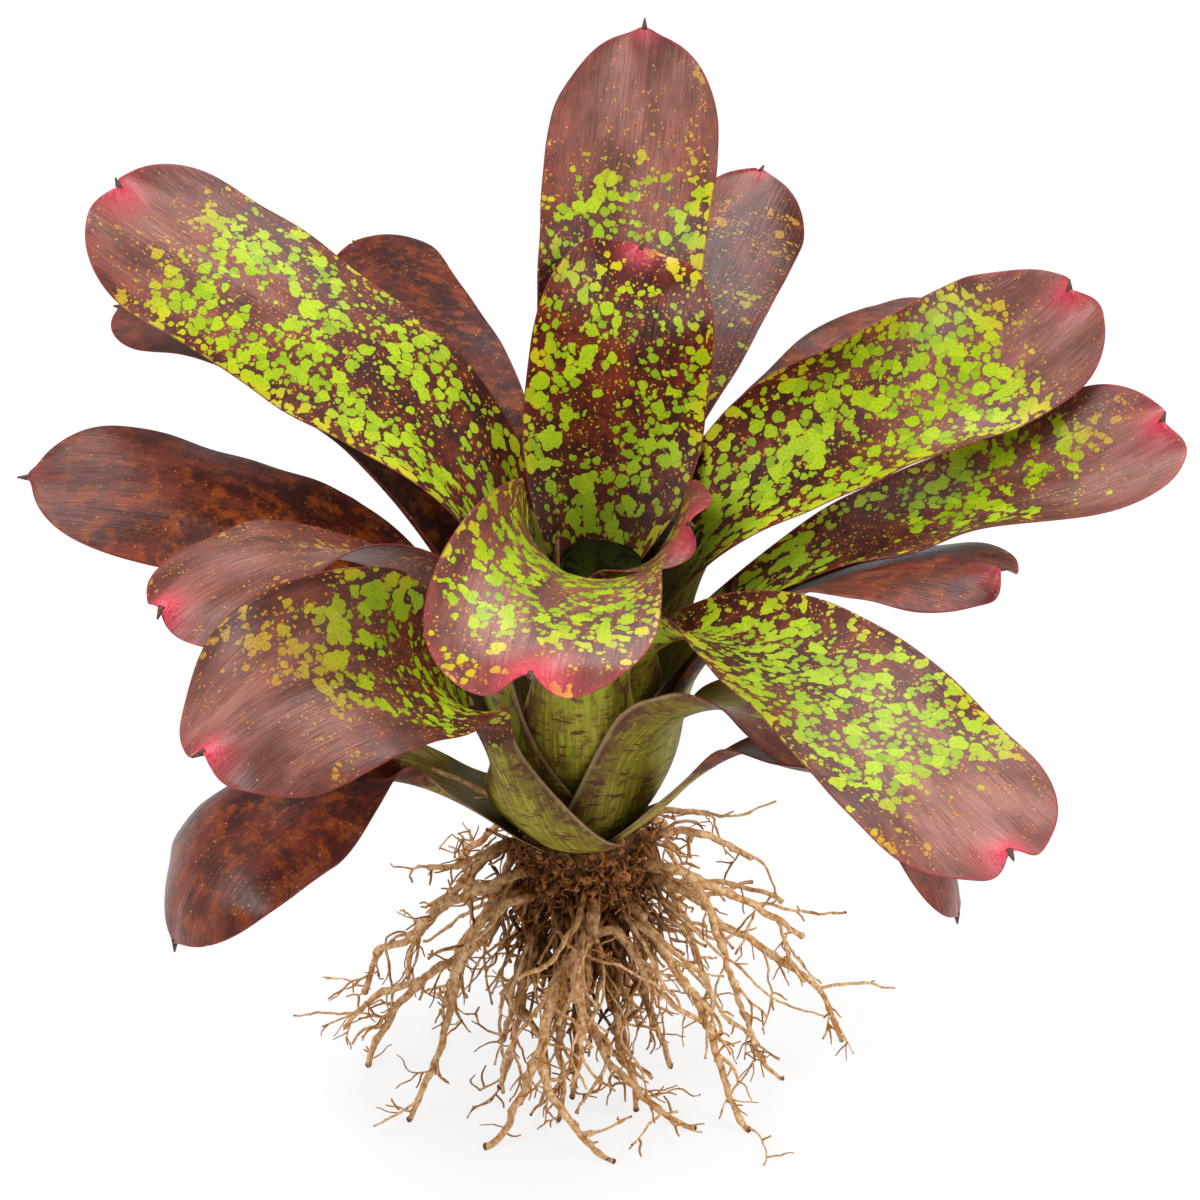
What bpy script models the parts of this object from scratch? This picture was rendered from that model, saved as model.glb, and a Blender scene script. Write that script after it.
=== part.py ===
"""A spotted tank bromeliad (a Neoregelia-like rosette), lifted from its pot and standing on its bare roots.

Metres, +Z up. The stem's axis is the Z axis, the floor is z = 0 and the front of the plant is at -Y.
A leaf rises from the short stem as a sheath, narrows at its neck and widens into a strap-shaped blade.
The leaves are listed from the outermost to the innermost, and each sits higher on the stem than the last.
"""

import math
from collections import namedtuple

import bmesh
import bpy
import numpy as np
from mathutils import Matrix, Vector
from mathutils.bvhtree import BVHTree

MM = 0.001

# The stem: a cone that carries the leaf bases, on a rounded foot that carries the roots.
CROWN_HEIGHT = 0.110
LEAF_ZONE = 0.030
FOOT_DEPTH = 0.024
SHEATH_RADIUS_LOW = 0.023
SHEATH_RADIUS_TOP = 0.006
SEAT_LIFT = 0.002
SEAT_GAP = 0.0003
STEM_INSET_LOW = 0.0009
STEM_INSET_TOP = 0.0006
STEM_SIDES = 24

# A leaf is thicker along its midrib than at its margins.
SHEATH_THICKNESS = 0.0004
BLADE_THICKNESS = 0.0012
MARGIN_SHARE = 0.55
TIP_SHARE = 0.5

# The sheath wraps the stem up to this far on each side, and opens into the blade between these shares of
# the leaf's length. The tip starts a little over half a blade's width before the end.
WIDEST_WRAP = math.radians(80)
SHEATH_OPENS = (0.08, 0.32)
TIP_LENGTH = 1.1
TIP_ROW_ANGLES = (20, 42, 64, 84)
TIP_ROUNDNESS = 2.3
LEAST_CURL = 1.0
ROWS = 18
COLUMNS = 9
SPINE_STEPS = 120

# Growing leaves press the older ones outside them apart.
LEAF_CLEARANCE = 0.0024
REACH_OF_PRESSING = 0.014
PRESSING_ROUNDS = 5

ROOT_SIDES = 6
ROOT_STEP = 0.010
ROOT_STUB = 0.004
ROOT_HUB = 0.099
BRANCH_SHARE = 0.75
BACK_ROOT_WIDTH = (3.8, 1.8)
CORE_ROOT_WIDTH = (3.8, 2.0)
CORE_TURN = (20, 50)

# Angles are in degrees and lengths in millimetres. heading is the leaf's compass direction, 0 along +X and
# 270 to the front, and swing turns it further towards its tip. rise is how steeply the midrib climbs: at the
# base, at two guiding stations and at the tip. neck is the neck's width as a share of the blade's. roll tips
# the blade and its tip about the midrib. gutter is how far each side curls up at the neck, blade and tip.
Leaf = namedtuple("Leaf", "name heading swing rise length half_width neck roll gutter spotted")

LEAVES = (
    Leaf("leaf_lower_left", 208, 21, (45, 42, 12, -80), 180, 39, 0.45, (5, 20), (105, -45, -45), False),
    Leaf("leaf_front_left", 239, -18, (45, 100, 20, -30), 230, 35, 0.30, (-45, -10), (100, 50, -50), True),
    Leaf("leaf_lower_right", 314, -4, (48, 58, 34, -80), 210, 23, 0.46, (-10, -40), (40, 5, -50), False),
    Leaf("leaf_front_under", 313, 13, (80, 70, 12, -20), 150, 28, 0.72, (-15, 0), (55, 35, -10), True),
    Leaf("leaf_right_low", 346, -15, (80, 66, 26, 0), 202, 31, 0.40, (-15, 0), (40, 5, -20), False),
    Leaf("leaf_left", 171, 6, (70, 64, 8, 0), 232, 36, 0.50, (-10, -10), (60, -25, -10), False),
    Leaf("leaf_left_low", 211, -6, (65, 100, 26, -35), 220, 30, 0.50, (20, -15), (45, 35, -45), False),
    Leaf("leaf_left_under", 151, 1, (70, 70, 32, -5), 250, 29, 0.40, (10, 0), (75, 30, -10), False),
    Leaf("leaf_back_right_under", 41, 3, (70, 62, 20, -30), 268, 29, 0.45, (-15, 0), (65, 15, -15), False),
    Leaf("leaf_cup_front", 269, -6, (60, 96, 16, -10), 284, 35, 0.55, (-25, 5), (80, 75, -10), True),
    Leaf("leaf_back_left", 113, -1, (75, 48, -8, -5), 280, 26, 0.50, (25, -20), (60, 25, -35), False),
    Leaf("leaf_back_right", 73, -3, (75, 52, -2, 20), 270, 28, 0.50, (10, 5), (60, 20, -45), False),
    Leaf("leaf_right", 357, 10, (75, 46, -10, 35), 250, 30, 0.50, (0, 25), (50, 30, 30), True),
    Leaf("leaf_front_right", 303, 3, (84, 47, -28, -10), 282, 33, 0.42, (0, 5), (98, 20, 0), True),
    Leaf("leaf_upper_left", 149, 10, (80, 88, -12, 35), 280, 36, 0.65, (-15, -20), (50, -20, -10), True),
    Leaf("leaf_upper_right", 12, 8, (80, 90, -48, 55), 260, 32, 0.65, (45, 20), (25, 65, 5), True),
    Leaf("leaf_back", 79, 2, (80, 74, 42, 50), 264, 31, 0.55, (10, 5), (55, 35, -45), True),
    Leaf("leaf_cup_right", 341, -16, (80, 78, 94, 25), 120, 27, 0.65, (0, 35), (75, 65, 35), True),
    Leaf("leaf_cup_back", 67, 10, (80, 78, 92, 25), 188, 32, 0.65, (15, 15), (100, -5, 50), True),
    Leaf("leaf_heart", 170, 0, (88, 90, 90, 88), 86, 12, 0.80, (0, 0), (60, 40, 20), True),
)

# The share of its width that a sheath keeps on its -1 and +1 side, where a neighbour stands in front of it.
TUCKED = {"leaf_lower_left": (1.0, 0.4), "leaf_lower_right": (0.45, 1.0)}

# A root leaves the stem's foot square to it and follows its bends, in millimetres. width is its thickness at
# the stem and at its end. A branch starts inside its parent. A root that stands on the floor ends at height 0.
Root = namedtuple("Root", "name bends width branches")

ROOTS = (
    Root("root_left_arch", [(-23, -17, 101), (-40, -7, 85), (-53, -2, 74), (-64, 2, 58), (-75, 6, 50), (-82, 10, 28)],
         (4.4, 2.2), ()),
    Root("root_front", [(5, -29, 93), (4, -32, 84), (-4, -34, 74), (-9, -36, 65), (-13, -40, 50), (-15, -41, 38),
         (-22, -44, 22), (-27, -47, 9), (-35, -49, 0)], (5.0, 2.4),
         ([(4, -32, 85), (12, -28, 83), (20, -29, 73), (24, -29, 63), (33, -31, 53), (44, -31, 45)],
          [(-15, -41, 38), (-12, -44, 25), (-4, -49, 12), (4, -53, 5), (12, -57, 0)])),
    Root("root_right_arch", [(26, -15, 102), (39, -10, 96), (51, -7, 87), (69, -3, 73), (82, 0, 61)], (4.2, 2.0),
         ([(39, -10, 96), (47, -14, 83), (52, -15, 66), (57, -13, 47), (64, -10, 21), (68, -8, 9), (76, -8, 0)],)),
    Root("root_right", [(30, -6, 90), (44, -4, 79), (50, -4, 71), (67, -3, 58), (82, -4, 46), (90, -4, 37),
         (98, -4, 16)], (4.0, 1.8), ()),
    Root("root_front_right", [(21, -21, 85), (26, -19, 74), (39, -24, 55), (47, -28, 40), (52, -31, 25),
         (57, -36, 8), (62, -39, 0)], (4.2, 2.2), ()),
    Root("root_front_low", [(2, -21, 76), (1, -21, 60), (2, -22, 45), (9, -26, 26), (19, -30, 15), (29, -34, 7),
         (42, -38, 0)], (4.0, 2.0), ()),
    Root("root_left", [(-26, -11, 86), (-35, -11, 70), (-46, -8, 57), (-60, -6, 45), (-71, -4, 27), (-79, -2, 10),
         (-81, 0, 0)], (4.2, 2.2), ([(-60, -6, 45), (-70, -4, 40), (-78, -2, 34), (-89, 0, 19)],)),
    Root("root_front_left", [(-21, -21, 93), (-32, -22, 88), (-38, -23, 80), (-45, -24, 65), (-48, -26, 46),
         (-53, -29, 28), (-59, -31, 13), (-64, -33, 0)], (4.0, 2.0), ()),
    Root("root_left_short", [(-29, -6, 104), (-36, -4, 98), (-46, 3, 90), (-56, 7, 87)], (3.4, 2.0), ()),
    Root("root_right_high", [(30, 3, 104), (44, 9, 101), (63, 15, 86)], (3.6, 2.0), ()),
    Root("root_right_short", [(27, 14, 106), (36, 18, 105), (47, 22, 101)], (3.2, 1.8), ()),
)

# Behind the stem and below it, roots spread evenly: heading, where it starts under the crown, how far it
# reaches, how high it bows outwards and the height it ends at.
FanRoot = namedtuple("FanRoot", "heading start reach bow end_height")

BACK_ROOTS = (
    FanRoot(40, 96, 62, 12, 0),
    FanRoot(58, 103, 74, 18, 34),
    FanRoot(76, 94, 48, 9, 0),
    FanRoot(94, 102, 66, 16, 12),
    FanRoot(112, 95, 56, 12, 0),
    FanRoot(130, 104, 72, 17, 40),
    FanRoot(148, 95, 60, 10, 0),
    FanRoot(166, 101, 68, 12, 30),
)
CORE_RINGS = ((3, 7, 70, 11, 20), (7, 19, 78, 24, 34))




def ease(start, end, value):
    """0 up to start, 1 from end on, and a smooth climb between them."""
    share = np.clip((value - start) / (end - start), 0, 1)
    return share * share * (3 - 2 * share)


def guided(values, share):
    """The cubic Bezier curve of four guiding values."""
    first, second, third, last = values
    rest = 1 - share
    return first * rest**3 + 3 * second * share * rest**2 + 3 * third * share**2 * rest + last * share**3


def seat_radius(inwardness):
    return SHEATH_RADIUS_LOW + (SHEATH_RADIUS_TOP - SHEATH_RADIUS_LOW) * inwardness


def seat_height(inwardness):
    return CROWN_HEIGHT + SEAT_LIFT + LEAF_ZONE * inwardness


def row_places(leaf):
    """Where the cross rows lie along the leaf, from 0 at the base to 1 at the tip, crowded in the round tip."""
    shoulder = 1 - TIP_LENGTH * leaf.half_width / leaf.length
    body = np.linspace(0, shoulder, ROWS - len(TIP_ROW_ANGLES))
    tip = shoulder + (1 - shoulder) * np.sin(np.radians(TIP_ROW_ANGLES))
    return np.concatenate([body, tip]), shoulder


def leaf_sheet(leaf, inwardness):
    """The leaf's middle surface as ROWS x COLUMNS points: a sheath around the stem that opens into a blade."""
    rows, shoulder = row_places(leaf)
    across = np.linspace(-1, 1, COLUMNS)
    kept = np.where(across < 0, *TUCKED.get(leaf.name, (1.0, 1.0)))
    across = across * (kept + (1 - kept) * ease(0.20, 0.45, rows)[:, None])

    def directions(along):
        rise = np.radians(guided(leaf.rise, along))
        heading = np.radians(leaf.heading + leaf.swing * ease(0.2, 1.0, along))
        forward = np.stack([np.cos(rise) * np.cos(heading), np.cos(rise) * np.sin(heading), np.sin(rise)], -1)
        sideways = np.stack([-np.sin(heading), np.cos(heading), np.zeros_like(heading)], -1)
        return forward, sideways, np.cross(forward, sideways)

    start = math.radians(leaf.heading)
    radius = seat_radius(inwardness)
    seat = np.array([radius * math.cos(start), radius * math.sin(start), seat_height(inwardness)])
    fine = np.linspace(0, 1, SPINE_STEPS + 1)
    steps = directions((fine[1:] + fine[:-1]) / 2)[0] * (leaf.length * MM / SPINE_STEPS)
    fine_midrib = seat + np.concatenate([np.zeros((1, 3)), np.cumsum(steps, 0)])
    midrib = np.stack([np.interp(rows, fine, fine_midrib[:, axis]) for axis in range(3)], -1)

    full = leaf.half_width * MM
    neck_width = leaf.neck + (0.9 - leaf.neck) * (1 - ease(0, 0.3, rows))
    body = np.where(rows < 0.3, neck_width, leaf.neck + (1 - leaf.neck) * ease(0.3, 0.66, rows)) * full
    round_off = np.sqrt(1 - np.clip((rows - shoulder) / (1 - shoulder), 0, 1) ** TIP_ROUNDNESS)
    width = body * round_off

    forward, sideways, upward = directions(rows)
    blade_roll, tip_roll = leaf.roll
    roll = np.radians(blade_roll * ease(0.25, 0.65, rows) + (tip_roll - blade_roll) * ease(0.65, 1, rows))[:, None]
    leaning = np.cos(roll) * sideways + np.sin(roll) * upward
    facing = np.cos(roll) * upward - np.sin(roll) * sideways

    neck_curl, blade_curl, tip_curl = leaf.gutter
    curl = np.where(
        rows < 0.66,
        neck_curl + (blade_curl - neck_curl) * ease(0.3, 0.66, rows),
        blade_curl + (tip_curl - blade_curl) * ease(0.66, 1, rows),
    )
    curl = np.radians(np.where(np.abs(curl) < LEAST_CURL, LEAST_CURL, curl))
    turn = curl[:, None] * across * round_off[:, None]
    bend = (body / curl)[:, None]
    blade = (
        midrib[:, None]
        + (bend * np.sin(turn))[..., None] * leaning[:, None]
        + (bend * (1 - np.cos(turn)))[..., None] * facing[:, None]
    )

    reach = np.hypot(midrib[:, 0], midrib[:, 1])
    bearing = np.arctan2(midrib[:, 1], midrib[:, 0])
    wrap = np.minimum(width / reach, WIDEST_WRAP)
    around = bearing[:, None] + wrap[:, None] * across
    height = np.broadcast_to(midrib[:, 2:3], around.shape)
    sheath = np.stack([reach[:, None] * np.cos(around), reach[:, None] * np.sin(around), height], -1)
    opened = ease(*SHEATH_OPENS, rows)[:, None, None]
    return sheath + (blade - sheath) * opened


def upper_normals(sheet):
    """The unit normals on the leaf's upper side, the one that faces the stem in the sheath."""
    normals = np.cross(np.gradient(sheet, axis=0), np.gradient(sheet, axis=1))
    return normals / np.linalg.norm(normals, axis=-1, keepdims=True)


def sheet_tree(sheet):
    rows, columns = sheet.shape[:2]
    corners = [row * columns + column for row in range(rows - 1) for column in range(columns - 1)]
    quads = [(corner, corner + 1, corner + columns + 1, corner + columns) for corner in corners]
    return BVHTree.FromPolygons([Vector(point) for point in sheet.reshape(-1, 3)], quads)


def smoothed(shift):
    """The shifts spread to the neighbouring points, so that a pressed leaf stays smooth."""
    for _ in range(2):
        padded = np.pad(shift, 1, mode="edge")
        beside = padded[:-2, 1:-1] + padded[2:, 1:-1] + padded[1:-1, :-2] + padded[1:-1, 2:]
        shift = np.maximum(shift, 0.9 * beside / 4)
    return shift


def with_midpoints(grid):
    """The grid with a point added midway between each two neighbours, both ways."""
    for axis in (0, 1):
        grid = np.swapaxes(grid, 0, axis)
        finer = np.repeat(grid, 2, axis=0)[:-1]
        finer[1::2] = (grid[1:] + grid[:-1]) / 2
        grid = np.swapaxes(finer, 0, axis)
    return grid


def pressed_outwards(sheet, inner_trees):
    """The sheet moved away from the leaves inside it, as growing leaves press their elders apart."""
    held = ease(0.0, 0.08, np.linspace(0, 1, len(sheet)))[:, None]
    for _ in range(PRESSING_ROUNDS):
        outward = -upper_normals(sheet)
        points = with_midpoints(sheet)
        directions = with_midpoints(outward)
        shift = np.zeros(points.shape[:2])
        for row, column in np.ndindex(shift.shape):
            point = Vector(points[row, column])
            direction = Vector(directions[row, column]).normalized()
            for tree in inner_trees:
                crossed = tree.ray_cast(point, direction, REACH_OF_PRESSING)[3]
                if crossed is not None:
                    shift[row, column] = max(shift[row, column], crossed + LEAF_CLEARANCE)
                near = tree.find_nearest(point, LEAF_CLEARANCE)[3]
                if near is not None:
                    shift[row, column] = max(shift[row, column], LEAF_CLEARANCE - near)
        if shift.max() < 0.00005:
            break
        padded = np.pad(shift, 1)
        rows, columns = shift.shape
        nearby = [padded[row : row + rows, column : column + columns] for row in range(3) for column in range(3)]
        shift = np.max(nearby, axis=0)[::2, ::2]
        sheet = sheet + outward * (smoothed(shift) * held)[..., None]
    return sheet


def leaf_thickness(sheet):
    """How thick the leaf is at each point: thin in the sheath, at the margins and towards the tip."""
    rows = np.linspace(0, 1, len(sheet))
    across = np.linspace(-1, 1, sheet.shape[1])
    along = SHEATH_THICKNESS + (BLADE_THICKNESS - SHEATH_THICKNESS) * ease(0.2, 0.6, rows)
    along = along * (1 - (1 - TIP_SHARE) * ease(0.8, 1, rows))
    return along[:, None] * (1 - (1 - MARGIN_SHARE) * across**2)


def add_leaf(name, sheet, material):
    """A closed leaf: an upper and a lower skin on both sides of the sheet, joined round the margin."""
    half = (upper_normals(sheet) * leaf_thickness(sheet)[..., None]) / 2
    mesh = bmesh.new()
    rows, columns = sheet.shape[:2]
    upper = [[mesh.verts.new(point) for point in line] for line in sheet + half]
    lower = [[mesh.verts.new(point) for point in line] for line in sheet - half]
    for row in range(rows - 1):
        for column in range(columns - 1):
            for skin in (upper, lower):
                mesh.faces.new(
                    (skin[row][column], skin[row][column + 1], skin[row + 1][column + 1], skin[row + 1][column])
                )
    margin = [(row, 0) for row in range(rows)]
    margin += [(rows - 1, column) for column in range(1, columns)]
    margin += [(row, columns - 1) for row in range(rows - 2, -1, -1)]
    margin += [(0, column) for column in range(columns - 2, 0, -1)]
    for (row, column), (next_row, next_column) in zip(margin, margin[1:] + margin[:1]):
        mesh.faces.new(
            (upper[row][column], upper[next_row][next_column], lower[next_row][next_column], lower[row][column])
        )
    return finish_mesh(name, mesh, material)


def finish_mesh(name, mesh, material):
    bmesh.ops.recalc_face_normals(mesh, faces=mesh.faces)
    bmesh.ops.triangulate(mesh, faces=mesh.faces)
    data = bpy.data.meshes.new(name)
    mesh.to_mesh(data)
    mesh.free()
    data.shade_smooth()
    data.materials.append(material)
    piece = bpy.data.objects.new(name, data)
    bpy.context.collection.objects.link(piece)
    return piece


def ring_of(mesh, centre, radius, sides, side_axis, other_axis):
    return [
        mesh.verts.new(
            centre
            + side_axis * (radius * math.cos(2 * math.pi * side / sides))
            + other_axis * (radius * math.sin(2 * math.pi * side / sides))
        )
        for side in range(sides)
    ]


def skin_rings(mesh, rings):
    """Closes a row of rings into one tube with flat ends."""
    for ring, next_ring in zip(rings, rings[1:]):
        for side in range(len(ring)):
            after = (side + 1) % len(ring)
            mesh.faces.new((ring[side], ring[after], next_ring[after], next_ring[side]))
    mesh.faces.new(rings[0][::-1])
    mesh.faces.new(rings[-1])


def add_stem(material):
    """The short stem: a rounded foot below the leaves and a cone that passes just inside the leaf bases."""
    low = seat_height(0)
    top = seat_height(1)
    profile = [
        (0.30 * SHEATH_RADIUS_LOW, CROWN_HEIGHT - FOOT_DEPTH),
        (0.68 * SHEATH_RADIUS_LOW, CROWN_HEIGHT - 0.88 * FOOT_DEPTH),
        (0.88 * SHEATH_RADIUS_LOW, CROWN_HEIGHT - 0.55 * FOOT_DEPTH),
        (SHEATH_RADIUS_LOW - STEM_INSET_LOW, low),
        (SHEATH_RADIUS_TOP - STEM_INSET_TOP, top),
        (0.3 * SHEATH_RADIUS_TOP, top + 0.003),
    ]
    mesh = bmesh.new()
    rings = [
        ring_of(mesh, Vector((0, 0, height)), radius, STEM_SIDES, Vector((1, 0, 0)), Vector((0, 1, 0)))
        for radius, height in profile
    ]
    skin_rings(mesh, rings)
    return finish_mesh("stem", mesh, material)


def smooth_route(points, step=ROOT_STEP):
    """Points about one step apart along a smooth curve through the given ones."""
    ends = [2 * points[0] - points[1]] + points + [2 * points[-1] - points[-2]]
    route = []
    for before, start, end, after in zip(ends, ends[1:], ends[2:], ends[3:]):
        pieces = max(1, round((end - start).length / step))
        for piece in range(pieces):
            t = piece / pieces
            route.append(
                0.5
                * (
                    2 * start
                    + (end - before) * t
                    + (2 * before - 5 * start + 4 * end - after) * t**2
                    + (3 * start - before - 3 * end + after) * t**3
                )
            )
    route.append(points[-1])
    return route


def root_tube(name, points, first_way, width, flat_foot, material):
    """A tapering tube along a route, square to first_way at its start. A flat foot lies level on the floor."""
    route = smooth_route(points)
    mesh = bmesh.new()
    rings = []
    side_axis = Vector((0.3, 1, 0.2))
    for index, centre in enumerate(route):
        ahead = route[min(index + 1, len(route) - 1)] - route[max(index - 1, 0)]
        if index == 0:
            ahead = first_way
        if flat_foot and index == len(route) - 1:
            ahead = Vector((0, 0, -1))
        ahead = ahead.normalized()
        side_axis = (side_axis - ahead * side_axis.dot(ahead)).normalized()
        radius = guided_width(width, index / (len(route) - 1)) * MM / 2
        rings.append(ring_of(mesh, centre, radius, ROOT_SIDES, side_axis, ahead.cross(side_axis)))
    skin_rings(mesh, rings)
    return finish_mesh(name, mesh, material)


def guided_width(width, share):
    return width[0] + (width[1] - width[0]) * share


def seat_on(tree, towards):
    """Where the line from a root's first bend to the heart of the foot meets the stem, and the way out there."""
    hub = Vector((0, 0, ROOT_HUB))
    place, outward = tree.ray_cast(towards, (hub - towards).normalized())[:2]
    return place + outward * SEAT_GAP, outward


def joined_root(name, seat, bends, width, branches, material):
    """A root with its branches, as one body."""
    place, outward = seat
    bends = [Vector(bend) * MM for bend in bends]
    route = [place, place + outward * ROOT_STUB] + bends
    on_floor = bends[-1].z < MM
    root = root_tube(name, route, outward, width, on_floor, material)
    for number, branch in enumerate(branches, 1):
        bends = [Vector(bend) * MM for bend in branch]
        slim = (width[0] * BRANCH_SHARE, width[1] * BRANCH_SHARE)
        piece = root_tube(f"{name}_branch_{number}", bends, bends[1] - bends[0], slim, bends[-1].z < MM, material)
        piece.hide_render = True
        piece.display_type = "WIRE"
        union = root.modifiers.new(f"branch_{number}", "BOOLEAN")
        union.operation = "UNION"
        union.solver = "EXACT"
        union.object = piece


def add_routed_roots(stem_tree, material):
    for root in ROOTS:
        seat = seat_on(stem_tree, Vector(root.bends[0]) * MM)
        joined_root(root.name, seat, root.bends, root.width, root.branches, material)


def polar(heading, radius, height):
    angle = math.radians(heading)
    return (radius * math.cos(angle), radius * math.sin(angle), height)


def add_back_roots(stem_tree, material):
    for number, root in enumerate(BACK_ROOTS, 1):
        drop = root.start - root.end_height
        bends = [
            polar(root.heading + 3, 29, root.start - 3),
            polar(root.heading - 4, 0.45 * root.reach + root.bow, root.start - 0.28 * drop),
            polar(root.heading + 3, 0.80 * root.reach + 0.5 * root.bow, root.start - 0.62 * drop),
            polar(root.heading - 2, 0.95 * root.reach + 0.2 * root.bow, root.start - 0.86 * drop),
            polar(root.heading, root.reach, root.end_height),
        ]
        seat = seat_on(stem_tree, Vector(bends[0]) * MM)
        joined_root(f"root_back_{number}", seat, bends, BACK_ROOT_WIDTH, (), material)


def add_core_roots(stem_tree, material):
    """The bundle of roots straight below the foot, in an inner and an outer ring."""
    for ring, (count, start, height, middle, end) in enumerate(CORE_RINGS, 1):
        for number in range(count):
            heading = CORE_TURN[ring - 1] + 360 * number / count
            bends = [
                polar(heading, start, height),
                polar(heading + 5, 0.55 * start + 0.45 * middle, 0.78 * height),
                polar(heading - 4, middle, 0.42 * height),
                polar(heading + 2, 0.4 * middle + 0.6 * end, 0.18 * height),
                polar(heading, end, 0),
            ]
            seat = seat_on(stem_tree, Vector(bends[0]) * MM)
            joined_root(f"root_core_{ring}_{number + 1}", seat, bends, CORE_ROOT_WIDTH, (), material)


def plain_material(name, colour, roughness):
    material = bpy.data.materials.new(name)
    material.use_nodes = True
    shader = material.node_tree.nodes["Principled BSDF"]
    shader.inputs["Base Color"].default_value = (*colour, 1)
    shader.inputs["Roughness"].default_value = roughness
    material.diffuse_color = (*colour, 1)
    return material


def add_leaves():
    """The leaves, worked outwards from the heart so that each is pressed clear of those inside it."""
    spotted = plain_material("leaf_spotted", (0.115, 0.085, 0.035), 0.45)
    plain = plain_material("leaf_plain", (0.095, 0.035, 0.030), 0.45)
    inner_trees = []
    for index in range(len(LEAVES) - 1, -1, -1):
        leaf = LEAVES[index]
        sheet = pressed_outwards(leaf_sheet(leaf, index / (len(LEAVES) - 1)), inner_trees)
        inner_trees.append(sheet_tree(sheet))
        add_leaf(leaf.name, sheet, spotted if leaf.spotted else plain)


def centre_on_origin():
    """Moves every mesh, so that the plant's box stands centred on the origin."""
    corners = [vertex.co for piece in bpy.data.objects for vertex in piece.data.vertices]
    low = Vector([min(corner[axis] for corner in corners) for axis in range(3)])
    high = Vector([max(corner[axis] for corner in corners) for axis in range(3)])
    shift = Vector((-(low.x + high.x) / 2, -(low.y + high.y) / 2, -low.z))
    for piece in bpy.data.objects:
        piece.data.transform(Matrix.Translation(shift))


def main():
    for piece in list(bpy.data.objects):
        bpy.data.objects.remove(piece)
    stem = add_stem(plain_material("stem", (0.12, 0.075, 0.04), 0.8))
    bpy.context.view_layer.update()
    stem_tree = BVHTree.FromObject(stem, bpy.context.evaluated_depsgraph_get())
    bark = plain_material("root", (0.40, 0.27, 0.16), 0.75)
    add_routed_roots(stem_tree, bark)
    add_back_roots(stem_tree, bark)
    add_core_roots(stem_tree, bark)
    add_leaves()
    centre_on_origin()


main()
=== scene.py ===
"""A spotted tank bromeliad standing on its bare roots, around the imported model. Metres, +Z up, front at -Y."""

import math
import random
from collections import namedtuple

import bpy
import numpy as np
from mathutils import Matrix, Vector, noise
from mathutils.bvhtree import BVHTree


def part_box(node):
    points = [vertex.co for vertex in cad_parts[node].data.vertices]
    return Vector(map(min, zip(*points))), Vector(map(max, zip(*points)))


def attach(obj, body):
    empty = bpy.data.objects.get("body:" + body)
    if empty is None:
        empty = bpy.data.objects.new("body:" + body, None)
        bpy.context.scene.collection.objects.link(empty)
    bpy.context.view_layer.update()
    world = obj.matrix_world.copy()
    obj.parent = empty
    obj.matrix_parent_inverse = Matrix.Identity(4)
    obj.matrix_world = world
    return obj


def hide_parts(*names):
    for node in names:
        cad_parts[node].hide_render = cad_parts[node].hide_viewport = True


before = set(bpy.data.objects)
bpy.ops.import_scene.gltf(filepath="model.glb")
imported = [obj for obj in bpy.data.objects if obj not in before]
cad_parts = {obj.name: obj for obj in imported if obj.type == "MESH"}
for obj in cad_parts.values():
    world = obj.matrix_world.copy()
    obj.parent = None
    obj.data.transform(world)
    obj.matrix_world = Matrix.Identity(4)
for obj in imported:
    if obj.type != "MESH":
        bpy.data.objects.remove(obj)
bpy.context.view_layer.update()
bpy.ops.object.select_all(action="DESELECT")

MM = 0.001

# ---- The plant's measures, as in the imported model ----
CROWN_HEIGHT = 0.110
LEAF_ZONE = 0.030
FOOT_DEPTH = 0.024
SHEATH_RADIUS_LOW = 0.023
SHEATH_RADIUS_TOP = 0.006
SEAT_LIFT = 0.002
SEAT_GAP = 0.0003
ROOT_HUB = 0.099
WIDEST_WRAP = math.radians(80)
SHEATH_OPENS = (0.08, 0.32)
TIP_LENGTH = 1.1
TIP_ROUNDNESS = 2.3
LEAST_CURL = 1.0
ROWS = 18
COLUMNS = 9
COARSE_TIP_ANGLES = (20, 42, 64, 84)
SPINE_STEPS = 120
LEAF_CLEARANCE = 0.0024
REACH_OF_PRESSING = 0.014
PRESSING_ROUNDS = 5
SHEATH_THICKNESS = 0.0005
BLADE_THICKNESS = 0.0013

# Angles in degrees, lengths in millimetres: the leaf's compass heading and its swing towards the tip, the
# climb of its midrib at four stations, its length and half width, the neck's share of that width, the roll of
# blade and tip, how far each side curls up at neck, blade and tip, how spotted it is and its tip.
Leaf = namedtuple("Leaf", "name heading swing rise length half_width neck roll gutter spots tip")

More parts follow.
